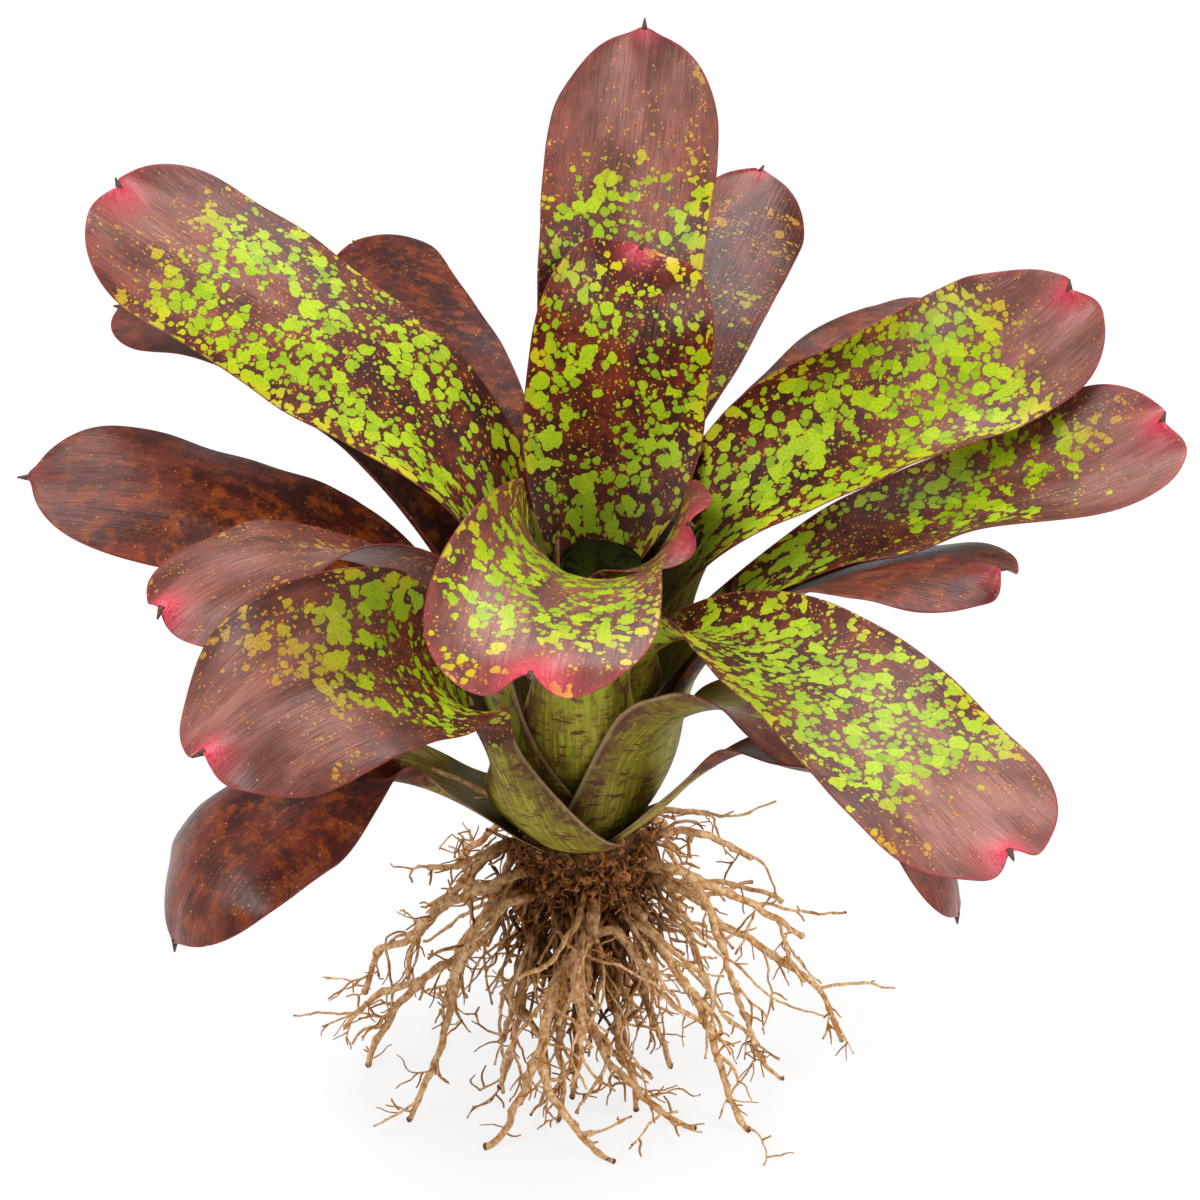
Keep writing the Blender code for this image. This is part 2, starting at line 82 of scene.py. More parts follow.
LEAVES = (
    Leaf("leaf_lower_left", 208, 21, (45, 42, 12, -80), 180, 39, 0.45, (5, 20), (105, -45, -45), (0.0, 0.0), "point"),
    Leaf("leaf_front_left", 239, -18, (45, 100, 20, -30), 230, 35, 0.30, (-45, -10), (100, 50, -50), (0.66, -0.35), "pinch"),
    Leaf("leaf_lower_right", 314, -4, (48, 58, 34, -80), 210, 23, 0.46, (-10, -40), (40, 5, -50), (0.0, 0.0), "point"),
    Leaf("leaf_front_under", 313, 13, (80, 70, 12, -20), 150, 28, 0.72, (-15, 0), (55, 35, -10), (0.4, 0.0), "point"),
    Leaf("leaf_right_low", 346, -15, (80, 66, 26, 0), 202, 31, 0.40, (-15, 0), (40, 5, -20), (0.0, 0.0), "pinch"),
    Leaf("leaf_left", 171, 6, (70, 64, 8, 0), 232, 36, 0.50, (-10, -10), (60, -25, -10), (0.0, 0.0), "point"),
    Leaf("leaf_left_low", 211, -6, (65, 100, 26, -35), 220, 30, 0.50, (20, -15), (45, 35, -45), (0.45, 0.0), "pinch"),
    Leaf("leaf_left_under", 151, 1, (70, 70, 32, -5), 250, 29, 0.40, (10, 0), (75, 30, -10), (0.0, 0.0), "point"),
    Leaf("leaf_back_right_under", 41, 3, (70, 62, 20, -30), 268, 29, 0.45, (-15, 0), (65, 15, -15), (0.0, 0.0), "point"),
    Leaf("leaf_cup_front", 269, -6, (60, 96, 16, -10), 284, 35, 0.55, (-25, 5), (80, 75, -10), (0.8, 0.0), "notch"),
    Leaf("leaf_back_left", 113, -1, (75, 48, -8, -5), 280, 26, 0.50, (25, -20), (60, 25, -35), (0.0, 0.0), "point"),
    Leaf("leaf_back_right", 73, -3, (75, 52, -2, 20), 270, 28, 0.50, (10, 5), (60, 20, -45), (0.42, 0.0), "point"),
    Leaf("leaf_right", 357, 10, (75, 46, -10, 35), 250, 30, 0.50, (0, 25), (50, 30, 30), (0.62, 0.25), "pinch"),
    Leaf("leaf_front_right", 303, 3, (84, 47, -28, -10), 282, 33, 0.42, (0, 5), (98, 20, 0), (0.85, 0.0), "pinch"),
    Leaf("leaf_upper_left", 149, 10, (80, 88, -12, 35), 280, 36, 0.65, (-15, -20), (50, -20, -10), (0.8, 0.3), "pinch"),
    Leaf("leaf_upper_right", 12, 8, (80, 90, -48, 55), 260, 32, 0.65, (45, 20), (25, 65, 5), (0.96, 0.0), "pinch"),
    Leaf("leaf_back", 79, 2, (80, 74, 42, 50), 264, 31, 0.55, (10, 5), (55, 35, -45), (0.60, -0.25), "point"),
    Leaf("leaf_cup_right", 341, -16, (80, 78, 94, 25), 120, 27, 0.65, (0, 35), (75, 65, 35), (0.55, 0.0), "notch"),
    Leaf("leaf_cup_back", 67, 10, (80, 78, 92, 25), 188, 32, 0.65, (15, 15), (100, -5, 50), (0.72, 0.0), "pinch"),
    Leaf("leaf_heart", 170, 0, (88, 90, 90, 88), 86, 12, 0.80, (0, 0), (60, 40, 20), (0.0, 0.0), "point"),
)

# The share of its width that a sheath keeps on its -1 and +1 side, where a neighbour stands in front of it.
TUCKED = {"leaf_lower_left": (1.0, 0.40), "leaf_lower_right": (0.45, 1.0)}

# Where along a leaf its olive sheath gives way to the blade's colour, where it isn't the usual 0.22 to 0.42.
SHEATH_ENDS = {"leaf_front_under": (0.5, 0.8), "leaf_cup_front": (0.15, 0.38)}

# Where along a blade its spots turn from lime to a faint tan, where it isn't the usual 0.82 to 0.96.
FADES = {"leaf_front_left": (0.66, 0.88), "leaf_left_low": (0.35, 0.58), "leaf_back_right": (0.60, 0.90),
         "leaf_cup_front": (0.94, 1.1), "leaf_cup_back": (0.95, 1.1), "leaf_back": (0.74, 0.92)}

# How far the painted sheen, a pale highlight painted on in place of gloss, covers a blade towards its tip, where it
# isn't the usual 0.6.
SHEEN = {"leaf_cup_back": 0.04, "leaf_left": 0.25, "leaf_lower_left": 0.28, "leaf_back_left": 0.0, "leaf_left_under": 0.15,
         "leaf_left_low": 0.55, "leaf_front_left": 0.75, "leaf_front_right": 0.75, "leaf_upper_right": 0.85,
         "leaf_back_right": 0.28, "leaf_right_low": 0.12, "leaf_lower_right": 0.25, "leaf_back_right_under": 0.3}

stem_low, stem_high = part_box("stem")
AXIS = Vector(((stem_low.x + stem_high.x) / 2, (stem_low.y + stem_high.y) / 2, stem_low.z - CROWN_HEIGHT + FOOT_DEPTH))


# ---- Leaf surfaces ----
def ease(start, end, value):
    """0 up to start, 1 from end on, and a smooth climb between them."""
    share = np.clip((value - start) / (end - start), 0, 1)
    return share * share * (3 - 2 * share)


def guided(values, share):
    first, second, third, last = values
    rest = 1 - share
    return first * rest**3 + 3 * second * share * rest**2 + 3 * third * share**2 * rest + last * share**3


def row_places(leaf, rows, tip_angles):
    shoulder = 1 - TIP_LENGTH * leaf.half_width / leaf.length
    body = np.linspace(0, shoulder, rows - len(tip_angles))
    tip = shoulder + (1 - shoulder) * np.sin(np.radians(tip_angles))
    return np.concatenate([body, tip])


def leaf_sheet(leaf, inwardness, rows, across):
    """The leaf's middle surface as rows x columns points, and the half width of each row."""
    shoulder = 1 - TIP_LENGTH * leaf.half_width / leaf.length
    kept = np.where(across < 0, *TUCKED.get(leaf.name, (1.0, 1.0)))
    across = across * (kept + (1 - kept) * ease(0.20, 0.45, rows)[:, None])

    def directions(along):
        rise = np.radians(guided(leaf.rise, along))
        heading = np.radians(leaf.heading + leaf.swing * ease(0.2, 1.0, along))
        forward = np.stack([np.cos(rise) * np.cos(heading), np.cos(rise) * np.sin(heading), np.sin(rise)], -1)
        sideways = np.stack([-np.sin(heading), np.cos(heading), np.zeros_like(heading)], -1)
        return forward, sideways, np.cross(forward, sideways)

    start = math.radians(leaf.heading)
    radius = SHEATH_RADIUS_LOW + (SHEATH_RADIUS_TOP - SHEATH_RADIUS_LOW) * inwardness
    height = CROWN_HEIGHT + SEAT_LIFT + LEAF_ZONE * inwardness
    seat = np.array([radius * math.cos(start), radius * math.sin(start), height])
    fine = np.linspace(0, 1, SPINE_STEPS + 1)
    steps = directions((fine[1:] + fine[:-1]) / 2)[0] * (leaf.length * MM / SPINE_STEPS)
    fine_midrib = seat + np.concatenate([np.zeros((1, 3)), np.cumsum(steps, 0)])
    midrib = np.stack([np.interp(rows, fine, fine_midrib[:, axis]) for axis in range(3)], -1)

    full = leaf.half_width * MM
    neck_width = leaf.neck + (0.9 - leaf.neck) * (1 - ease(0, 0.3, rows))
    body = np.where(rows < 0.3, neck_width, leaf.neck + (1 - leaf.neck) * ease(0.3, 0.66, rows)) * full
    round_off = np.sqrt(1 - np.clip((rows - shoulder) / (1 - shoulder), 0, 1) ** TIP_ROUNDNESS)
    width = body * round_off

    forward, sideways, upward = directions(rows)
    blade_roll, tip_roll = leaf.roll
    roll = np.radians(blade_roll * ease(0.25, 0.65, rows) + (tip_roll - blade_roll) * ease(0.65, 1, rows))[:, None]
    leaning = np.cos(roll) * sideways + np.sin(roll) * upward
    facing = np.cos(roll) * upward - np.sin(roll) * sideways

    neck_curl, blade_curl, tip_curl = leaf.gutter
    curl = np.where(
        rows < 0.66,
        neck_curl + (blade_curl - neck_curl) * ease(0.3, 0.66, rows),
        blade_curl + (tip_curl - blade_curl) * ease(0.66, 1, rows),
    )
    curl = np.radians(np.where(np.abs(curl) < LEAST_CURL, LEAST_CURL, curl))
    turn = curl[:, None] * across * round_off[:, None]
    bend = (body / curl)[:, None]
    blade = (
        midrib[:, None]
        + (bend * np.sin(turn))[..., None] * leaning[:, None]
        + (bend * (1 - np.cos(turn)))[..., None] * facing[:, None]
    )

    reach = np.hypot(midrib[:, 0], midrib[:, 1])
    bearing = np.arctan2(midrib[:, 1], midrib[:, 0])
    wrap = np.minimum(width / reach, WIDEST_WRAP)
    around = bearing[:, None] + wrap[:, None] * across
    level = np.broadcast_to(midrib[:, 2:3], around.shape)
    sheath = np.stack([reach[:, None] * np.cos(around), reach[:, None] * np.sin(around), level], -1)
    opened = ease(*SHEATH_OPENS, rows)[:, None, None]
    return sheath + (blade - sheath) * opened, width


def upper_normals(sheet):
    normals = np.cross(np.gradient(sheet, axis=0), np.gradient(sheet, axis=1))
    return normals / np.linalg.norm(normals, axis=-1, keepdims=True)


def sheet_tree(sheet):
    rows, columns = sheet.shape[:2]
    corners = [row * columns + column for row in range(rows - 1) for column in range(columns - 1)]
    quads = [(corner, corner + 1, corner + columns + 1, corner + columns) for corner in corners]
    return BVHTree.FromPolygons([Vector(point) for point in sheet.reshape(-1, 3)], quads)


def smoothed(shift):
    for _ in range(2):
        padded = np.pad(shift, 1, mode="edge")
        beside = padded[:-2, 1:-1] + padded[2:, 1:-1] + padded[1:-1, :-2] + padded[1:-1, 2:]
        shift = np.maximum(shift, 0.9 * beside / 4)
    return shift


def with_midpoints(grid):
    for axis in (0, 1):
        grid = np.swapaxes(grid, 0, axis)
        finer = np.repeat(grid, 2, axis=0)[:-1]
        finer[1::2] = (grid[1:] + grid[:-1]) / 2
        grid = np.swapaxes(finer, 0, axis)
    return grid


def pressed_outwards(sheet, inner_trees):
    """The sheet moved away from the leaves inside it, as growing leaves press their elders apart."""
    held = ease(0.0, 0.08, np.linspace(0, 1, len(sheet)))[:, None]
    for _ in range(PRESSING_ROUNDS):
        outward = -upper_normals(sheet)
        points = with_midpoints(sheet)
        directions = with_midpoints(outward)
        shift = np.zeros(points.shape[:2])
        for row, column in np.ndindex(shift.shape):
            point = Vector(points[row, column])
            direction = Vector(directions[row, column]).normalized()
            for tree in inner_trees:
                crossed = tree.ray_cast(point, direction, REACH_OF_PRESSING)[3]
                if crossed is not None:
                    shift[row, column] = max(shift[row, column], crossed + LEAF_CLEARANCE)
                near = tree.find_nearest(point, LEAF_CLEARANCE)[3]
                if near is not None:
                    shift[row, column] = max(shift[row, column], LEAF_CLEARANCE - near)
        if shift.max() < 0.00005:
            break
        padded = np.pad(shift, 1)
        rows, columns = shift.shape
        nearby = [padded[row : row + rows, column : column + columns] for row in range(3) for column in range(3)]
        shift = np.max(nearby, axis=0)[::2, ::2]
        sheet = sheet + outward * (smoothed(shift) * held)[..., None]
    return sheet


# ---- Node helpers ----
class Net:
    """A material's node tree, with short calls for the nodes that the finishes use."""

    def __init__(self, name):
        self.material = bpy.data.materials.new(name)
        self.material.use_nodes = True
        self.nodes = self.material.node_tree.nodes
        self.links = self.material.node_tree.links
        self.shader = self.nodes["Principled BSDF"]

    def put(self, socket, value):
        if isinstance(value, bpy.types.NodeSocket):
            self.links.new(value, socket)
        elif value is not None:
            socket.default_value = value

    def math(self, operation, first, second=None, third=None, clamp=False):
        node = self.nodes.new("ShaderNodeMath")
        node.operation = operation
        node.use_clamp = clamp
        for socket, value in zip(node.inputs, (first, second, third)):
            self.put(socket, value)
        return node.outputs[0]

    def vector(self, operation, first, second=None, scale=None):
        node = self.nodes.new("ShaderNodeVectorMath")
        node.operation = operation
        self.put(node.inputs[0], first)
        self.put(node.inputs[1], second)
        if scale is not None:
            self.put(node.inputs["Scale"], scale)
        return node.outputs[0]

    def ramp(self, value, low, high, start=0.0, end=1.0, smooth=True):
        node = self.nodes.new("ShaderNodeMapRange")
        node.interpolation_type = "SMOOTHSTEP" if smooth else "LINEAR"
        for socket, item in zip(node.inputs, (value, low, high, start, end)):
            self.put(socket, item)
        return node.outputs[0]

    def mix(self, share, first, second, blend="MIX"):
        node = self.nodes.new("ShaderNodeMix")
        node.data_type = "RGBA"
        node.blend_type = blend
        self.put(node.inputs["Factor"], share)
        self.put(node.inputs[6], first)
        self.put(node.inputs[7], second)
        return node.outputs[2]

    def noise(self, place, scale, detail=3.0, roughness=0.55, distortion=0.0):
        node = self.nodes.new("ShaderNodeTexNoise")
        self.put(node.inputs["Vector"], place)
        node.inputs["Scale"].default_value = scale
        node.inputs["Detail"].default_value = detail
        node.inputs["Roughness"].default_value = roughness
        node.inputs["Distortion"].default_value = distortion
        return node.outputs[0]

    def cells(self, place, scale, randomness=1.0):
        node = self.nodes.new("ShaderNodeTexVoronoi")
        self.put(node.inputs["Vector"], place)
        node.inputs["Scale"].default_value = scale
        node.inputs["Randomness"].default_value = randomness
        return node.outputs["Distance"], node.outputs["Color"]

    def scaled(self, place, factors):
        node = self.nodes.new("ShaderNodeMapping")
        self.put(node.inputs["Vector"], place)
        node.inputs["Scale"].default_value = factors
        return node.outputs[0]

    def own(self, name):
        node = self.nodes.new("ShaderNodeAttribute")
        node.attribute_name = name
        return node.outputs["Fac"]

    def uv(self, name):
        node = self.nodes.new("ShaderNodeUVMap")
        node.uv_map = name
        return node.outputs[0]

    def part(self, colour, index):
        node = self.nodes.new("ShaderNodeSeparateColor")
        self.put(node.inputs[0], colour)
        return node.outputs[index]

    def bump(self, height, distance, strength=1.0, normal=None):
        node = self.nodes.new("ShaderNodeBump")
        node.inputs["Strength"].default_value = strength
        node.inputs["Distance"].default_value = distance
        self.put(node.inputs["Height"], height)
        if normal is not None:
            self.put(node.inputs["Normal"], normal)
        return node.outputs[0]


def shade(red, green, blue):
    """A colour written in everyday 0 to 255 values, as the shader's linear ones."""
    linear = [((v / 255 + 0.055) / 1.055) ** 2.4 if v > 10 else v / 255 / 12.92 for v in (red, green, blue)]
    return (*linear, 1.0)


# ---- Finishes ----
# The pattern runs in millimetres over the leaf: u across it and v along it.
def leaf_finish(name, spotted):
    net = Net(name)
    flat = net.uv("leaf_mm")
    drawn = net.uv("spots_mm")
    along = net.own("along")
    edge = net.own("edge_mm")
    tip = net.own("tip_glow")
    sheath = net.own("sheath")
    under = net.own("under")
    # Painted shade: the upper faces deep in the cup's throat are darkened where the rosette's shade falls.
    throat_shade = net.math("MULTIPLY", net.own("throat_shade"), net.math("SUBTRACT", 1.0, under))

    grain = net.noise(net.scaled(flat, (1.0, 0.035, 1.0)), 1.9, 4.0, 0.65)
    broad = net.noise(net.scaled(flat, (1.0, 0.35, 1.0)), 0.05, 3.0, 0.6)
    cloud = net.noise(flat, 0.11, 5.0, 0.68)
    fine = net.noise(flat, 1.1, 3.0, 0.6)

    colour = net.mix(net.ramp(broad, 0.38, 0.62), shade(58, 11, 2), shade(104, 28, 10))
    amber = net.ramp(cloud, 0.46, 0.60)
    if spotted:
        amber = net.math("MULTIPLY", amber, net.ramp(along, 0.45, 0.95, 0.30, 0.12))
    else:
        amber = net.math("MULTIPLY", amber, net.ramp(along, 0.35, 0.95, 1.0, 0.35))
    colour = net.mix(amber, colour, shade(164, 76, 3))
    dusk = net.noise(net.vector("ADD", flat, (13.0, 57.0, 0.0)), 0.15, 4.0, 0.7)
    colour = net.mix(net.ramp(dusk, 0.48, 0.60, 0.0, 0.75), colour, shade(34, 6, 2))
    # Painted sheen: a pale mauve highlight painted towards the tip, standing in for a glossy reflection.
    bloom = net.math("MULTIPLY", net.own("bloom"), net.ramp(broad, 0.34, 0.64, 0.35, 1.0))
    colour = net.mix(bloom, colour, shade(176, 124, 112))
    # Painted shade: each blade darkened towards its base, where it lies in the rosette's shade.
    colour = net.mix(net.ramp(along, 0.45, 0.80, 0.35, 0.0), colour, shade(40, 8, 2))
    lines = net.ramp(grain, 0.47, 0.60, 0.0, 1.0)
    colour = net.mix(net.math("MULTIPLY", lines, net.ramp(along, 0.4, 0.85, 0.15, 0.45)), colour, shade(70, 24, 20))

    warp_x = net.noise(drawn, 0.45, 2.0, 0.6)
    warp_y = net.noise(net.vector("ADD", drawn, (37.0, 11.0, 5.0)), 0.45, 2.0, 0.6)
    combine = net.nodes.new("ShaderNodeCombineXYZ")
    net.put(combine.inputs[0], net.math("SUBTRACT", warp_x, 0.5))
    net.put(combine.inputs[1], net.math("SUBTRACT", warp_y, 0.5))
    warped = net.vector("MULTIPLY_ADD", combine.outputs[0], (2.0, 2.0, 0.0))
    net.put(warped.node.inputs[2], drawn)

    clump = net.noise(net.scaled(drawn, (1.0, 0.62, 1.0)), 0.045, 1.0, 0.5)
    clump_fine = net.noise(net.vector("ADD", drawn, (9.0, 71.0, 0.0)), 0.13, 1.0, 0.5)
    gather = net.math("MULTIPLY_ADD", clump, 2.0, net.math("MULTIPLY", clump_fine, 1.9))
    presence = net.math("ADD", net.math("SUBTRACT", gather, 1.80), net.own("spots"))

    def spot_layer(scale, widest, need, full, soft):
        distance, chance = net.cells(warped, scale)
        lot = net.part(chance, 0)
        size = net.math("MULTIPLY_ADD", lot, 0.5, 0.5)
        radius = net.math("MULTIPLY", net.math("MULTIPLY", size, net.ramp(presence, need, full)), widest)
        return net.ramp(net.math("SUBTRACT", radius, distance), 0.0, soft), lot

    large, large_lot = spot_layer(0.20, 0.70, 0.36, 1.05, 0.025)
    middle, _ = spot_layer(0.34, 0.56, 0.20, 0.95, 0.05)
    small, small_lot = spot_layer(0.60, 0.34, -0.20, 0.45, 0.09)
    both = net.math("MAXIMUM", large, middle)

    green = net.mix(large_lot, shade(124, 156, 4), shade(168, 190, 10))
    green = net.mix(net.ramp(fine, 0.45, 0.62, 0.0, 0.45), green, shade(106, 132, 8))
    gold = net.noise(net.vector("ADD", flat, (71.0, 23.0, 0.0)), 0.06, 1.0, 0.5)
    yellowing = net.math("MULTIPLY", net.ramp(edge, 3.0, 11.0, 0.6, 0.0), net.ramp(gold, 0.44, 0.62))
    yellowing = net.math("MAXIMUM", yellowing, net.ramp(along, 0.86, 0.99, 0.0, 0.8))
    yellowing = net.math("MAXIMUM", yellowing, net.ramp(edge, 0.8, 4.0, 0.45, 0.0))
    green = net.mix(yellowing, green, shade(200, 172, 16))
    faded = net.own("faded")
    green = net.mix(net.math("MULTIPLY", faded, 0.85), green, shade(208, 146, 44))
    seen = net.math("SUBTRACT", 1.0, net.math("MULTIPLY", faded, net.ramp(fine, 0.40, 0.60, 0.25, 0.65)))
    specks = net.mix(net.math("ADD", yellowing, net.ramp(small_lot, 0.3, 0.7), clamp=True), shade(160, 178, 16),
                     shade(196, 124, 26))

    if spotted:
        colour = net.mix(net.math("MULTIPLY", small, 0.85), colour, specks)
        colour = net.mix(net.math("MULTIPLY", both, seen), colour, green)
    else:
        colour = net.mix(net.math("MULTIPLY", small, 0.45), colour, shade(170, 92, 30))

    streaks = net.noise(net.scaled(flat, (1.0, 0.05, 1.0)), 0.9, 4.0, 0.65)
    olive = net.mix(net.ramp(broad, 0.35, 0.65), shade(122, 112, 10), shade(156, 150, 24))
    olive = net.mix(net.ramp(streaks, 0.46, 0.66), olive, shade(182, 174, 58))
    stain = net.noise(net.vector("ADD", flat, (3.0, 41.0, 0.0)), 0.16, 4.0, 0.7)
    olive = net.mix(net.ramp(stain, 0.50, 0.64, 0.0, 0.75), olive, shade(92, 52, 26))
    dashes = net.noise(net.scaled(flat, (0.30, 1.0, 1.0)), 0.36, 3.0, 0.7)
    olive = net.mix(net.ramp(dashes, 0.57, 0.62, 0.0, 0.9), olive, shade(72, 26, 14))
    bands = net.math("MULTIPLY", net.ramp(edge, 2.0, 13.0, 1.0, 0.0), net.ramp(cloud, 0.38, 0.56, 0.2, 0.95))
    olive = net.mix(bands, olive, shade(88, 44, 28))
    olive = net.mix(net.ramp(edge, 0.3, 2.4, 0.6, 0.0), olive, shade(190, 170, 128))
    inner = net.mix(net.ramp(streaks, 0.42, 0.62), shade(150, 130, 52), shade(196, 178, 112))
    olive = net.mix(net.math("SUBTRACT", 1.0, under), olive, inner)
    ragged = net.math("ADD", sheath, net.math("MULTIPLY_ADD", cloud, 1.2, -0.6))
    on_sheath = net.ramp(ragged, 0.35, 0.65)
    if spotted:
        on_sheath = net.math("MULTIPLY", on_sheath, net.math("SUBTRACT", 1.0, net.math("MULTIPLY", both, 0.5)))
    colour = net.mix(on_sheath, colour, olive)

    flecks, _ = net.cells(net.vector("ADD", flat, (5.0, 3.0, 0.0)), 0.34)
    fleck = net.math("MULTIPLY", net.ramp(flecks, 0.05, 0.12, 0.9, 0.0), net.ramp(cloud, 0.40, 0.56))
    colour = net.mix(fleck, colour, shade(220, 172, 132))

    colour = net.mix(tip, colour, net.mix(net.ramp(fine, 0.4, 0.6), shade(196, 44, 70), shade(220, 84, 104)))
    rim = net.ramp(edge, 0.2, 0.7, 0.7, 0.0)
    colour = net.mix(rim, colour, net.mix(sheath, shade(122, 44, 40), shade(120, 76, 40)))
    teeth, _ = net.cells(net.scaled(flat, (0.0, 0.36, 1.0)), 1.0, 0.6)
    tooth = net.math("MULTIPLY", net.ramp(teeth, 0.10, 0.18, 0.8, 0.0), net.ramp(edge, 0.35, 0.7, 1.0, 0.0))
    colour = net.mix(net.math("MULTIPLY", tooth, net.ramp(along, 0.3, 0.5)), colour, shade(212, 168, 132))
    colour = net.mix(net.math("MULTIPLY", under, 0.3), colour, net.mix(0.5, colour, shade(110, 62, 50)))
    # Painted shade: the cup's throat darkened towards near-black on the upper faces.
    colour = net.mix(net.math("MULTIPLY", throat_shade, 0.8), colour, net.mix(0.75, colour, shade(20, 14, 4)))

    net.put(net.shader.inputs["Base Color"], colour)
    rough = net.math("ADD", net.ramp(grain, 0.3, 0.7, 0.0, 0.12), net.ramp(along, 0.45, 0.80, 0.55, 0.26))
    net.put(net.shader.inputs["Roughness"], rough)
    net.shader.inputs["Specular IOR Level"].default_value = 0.24
    nerves = net.noise(net.scaled(flat, (1.0, 0.012, 1.0)), 0.9, 2.0, 0.5)
    relief = net.math("ADD", net.math("MULTIPLY", nerves, 0.7), net.math("MULTIPLY", grain, 0.4))
    net.put(net.shader.inputs["Normal"], net.bump(relief, 0.0006, 0.55))
    return net.material


def object_place(net):
    return net.nodes.new("ShaderNodeTexCoord").outputs["Object"]


def root_finish(name, light, dark, inner):
    net = Net(name)
    place = object_place(net)
    centred = net.nodes.new("ShaderNodeMapping")
    net.put(centred.inputs["Vector"], place)
    centred.inputs["Location"].default_value = (-AXIS.x, -AXIS.y, 0)
    centred.inputs["Scale"].default_value = (1, 1, 0)
    reach = net.nodes.new("ShaderNodeVectorMath")
    reach.operation = "LENGTH"
    net.put(reach.inputs[0], centred.outputs[0])
    # Painted shade: roots close to the axis and high under the crown are darkened towards the inner colour, as the
    # shade inside the tangle; low down they count as further out.
    low = net.math("MAXIMUM", net.math("SUBTRACT", 0.07, net.part(place, 2)), 0.0)
    out_of_core_shade = net.ramp(net.math("MULTIPLY_ADD", low, 0.3, reach.outputs["Value"]), 0.023, 0.043)
    mottle = net.noise(place, 260.0, 4.0, 0.65)
    bark = net.noise(net.scaled(place, (1.0, 1.0, 0.35)), 1300.0, 3.0, 0.6)
    colour = net.mix(net.ramp(mottle, 0.30, 0.68), dark, light)
    colour = net.mix(net.ramp(bark, 0.30, 0.55, 0.55, 0.0), colour, shade(96, 54, 22))
    colour = net.mix(net.math("SUBTRACT", 1.0, out_of_core_shade), colour, net.mix(net.ramp(mottle, 0.4, 0.7), inner, dark))
    net.put(net.shader.inputs["Base Color"], colour)
    net.shader.inputs["Roughness"].default_value = 0.72
    net.shader.inputs["Specular IOR Level"].default_value = 0.15
    height = net.math("ADD", net.math("MULTIPLY", bark, 0.5), mottle)
    net.put(net.shader.inputs["Normal"], net.bump(height, 0.0006, 0.8))
    return net.material


def plain_finish(name, colour, second, scale, roughness):
    net = Net(name)
    mottle = net.noise(object_place(net), scale, 4.0, 0.6)
    net.put(net.shader.inputs["Base Color"], net.mix(net.ramp(mottle, 0.38, 0.64), colour, second))
    net.shader.inputs["Roughness"].default_value = roughness
    net.put(net.shader.inputs["Normal"], net.bump(mottle, 0.0005, 0.6))
    return net.material


def water_finish():
    net = Net("cup_water")
    # The near-black base colour is painted shade: the cup's shaded depth below the water, drawn on an opaque surface.
    net.shader.inputs["Base Color"].default_value = shade(16, 16, 3)
    net.shader.inputs["Roughness"].default_value = 0.03
    net.shader.inputs["IOR"].default_value = 1.33
    ripple = net.noise(object_place(net), 160.0, 2.0, 0.5)
    net.put(net.shader.inputs["Normal"], net.bump(ripple, 0.0003, 0.15))
    return net.material


# ---- Leaves ----
FINE_ROWS = 84
FINE_COLUMNS = 25
FINE_TIP_ANGLES = (6, 12, 18, 24, 30, 36, 42, 48, 54, 60, 66, 71, 76, 80, 84, 87)


def spread_shift(shift, coarse_rows, fine_rows, coarse_across, fine_across):
    """The pressing's shifts, carried over smoothly from the coarse sheet to the fine one."""
    along = np.stack(
        [[np.interp(fine_rows, coarse_rows, shift[:, column, axis]) for column in range(shift.shape[1])] for axis in range(3)],
        -1,
    )
    full = np.stack(
        [[np.interp(fine_across, coarse_across, along[:, row, axis]) for row in range(len(fine_rows))] for axis in range(3)],
        -1,
    )
    for _ in range(10):
        padded = np.pad(full, ((1, 1), (0, 0), (0, 0)), mode="edge")
        full = (padded[:-2] + 2 * padded[1:-1] + padded[2:]) / 4
        padded = np.pad(full, ((0, 0), (1, 1), (0, 0)), mode="edge")
        full = (padded[:, :-2] + 2 * padded[:, 1:-1] + padded[:, 2:]) / 4
    return full


def shape_tip(leaf, sheet, rows, across, width):
    """The end of the blade: a short point, a pinched fold or a rolled notch, always round the dark end spine."""
    shoulder = 1 - TIP_LENGTH * leaf.half_width / leaf.length
    q = np.clip((rows - shoulder) / (1 - shoulder), 0, 1)[:, None]
    lateral = np.abs(across)[None, :] * width[:, None] / MM
    middle = sheet.shape[1] // 2
    forward = np.gradient(sheet[:, middle], axis=0)
    forward = (forward / np.linalg.norm(forward, axis=-1, keepdims=True))[:, None]
    up = upper_normals(sheet)[:, middle][:, None]
    size = min(1.0, leaf.half_width / 28)
    if leaf.tip == "point":
        reach = np.exp(-((lateral / 4.0) ** 2)) * ease(0.84, 1.0, q) * 2.4
        lift = np.exp(-((lateral / 4.0) ** 2)) * ease(0.70, 1.0, q) * -1.0
    elif leaf.tip == "pinch":
        reach = np.exp(-((lateral / 4.8) ** 2)) * ease(0.80, 1.0, q) * -3.8
        lift = np.exp(-((lateral / 5.0) ** 2)) * ease(0.50, 1.0, q) * 3.8
        lift = lift - np.exp(-(((lateral - 10.0) / 5.0) ** 2)) * ease(0.5, 1.0, q) * 1.8
    else:
        reach = np.exp(-((lateral / 5.0) ** 2)) * ease(0.70, 1.0, q) * -4.6
        lift = np.exp(-((lateral / 5.5) ** 2)) * ease(0.45, 1.0, q) * 3.6
        lift = lift - ease(0.60, 1.0, q) * 3.6 * ease(3.0, 13.0, lateral)
    return sheet + (forward * reach[..., None] + up * lift[..., None]) * (size * MM)


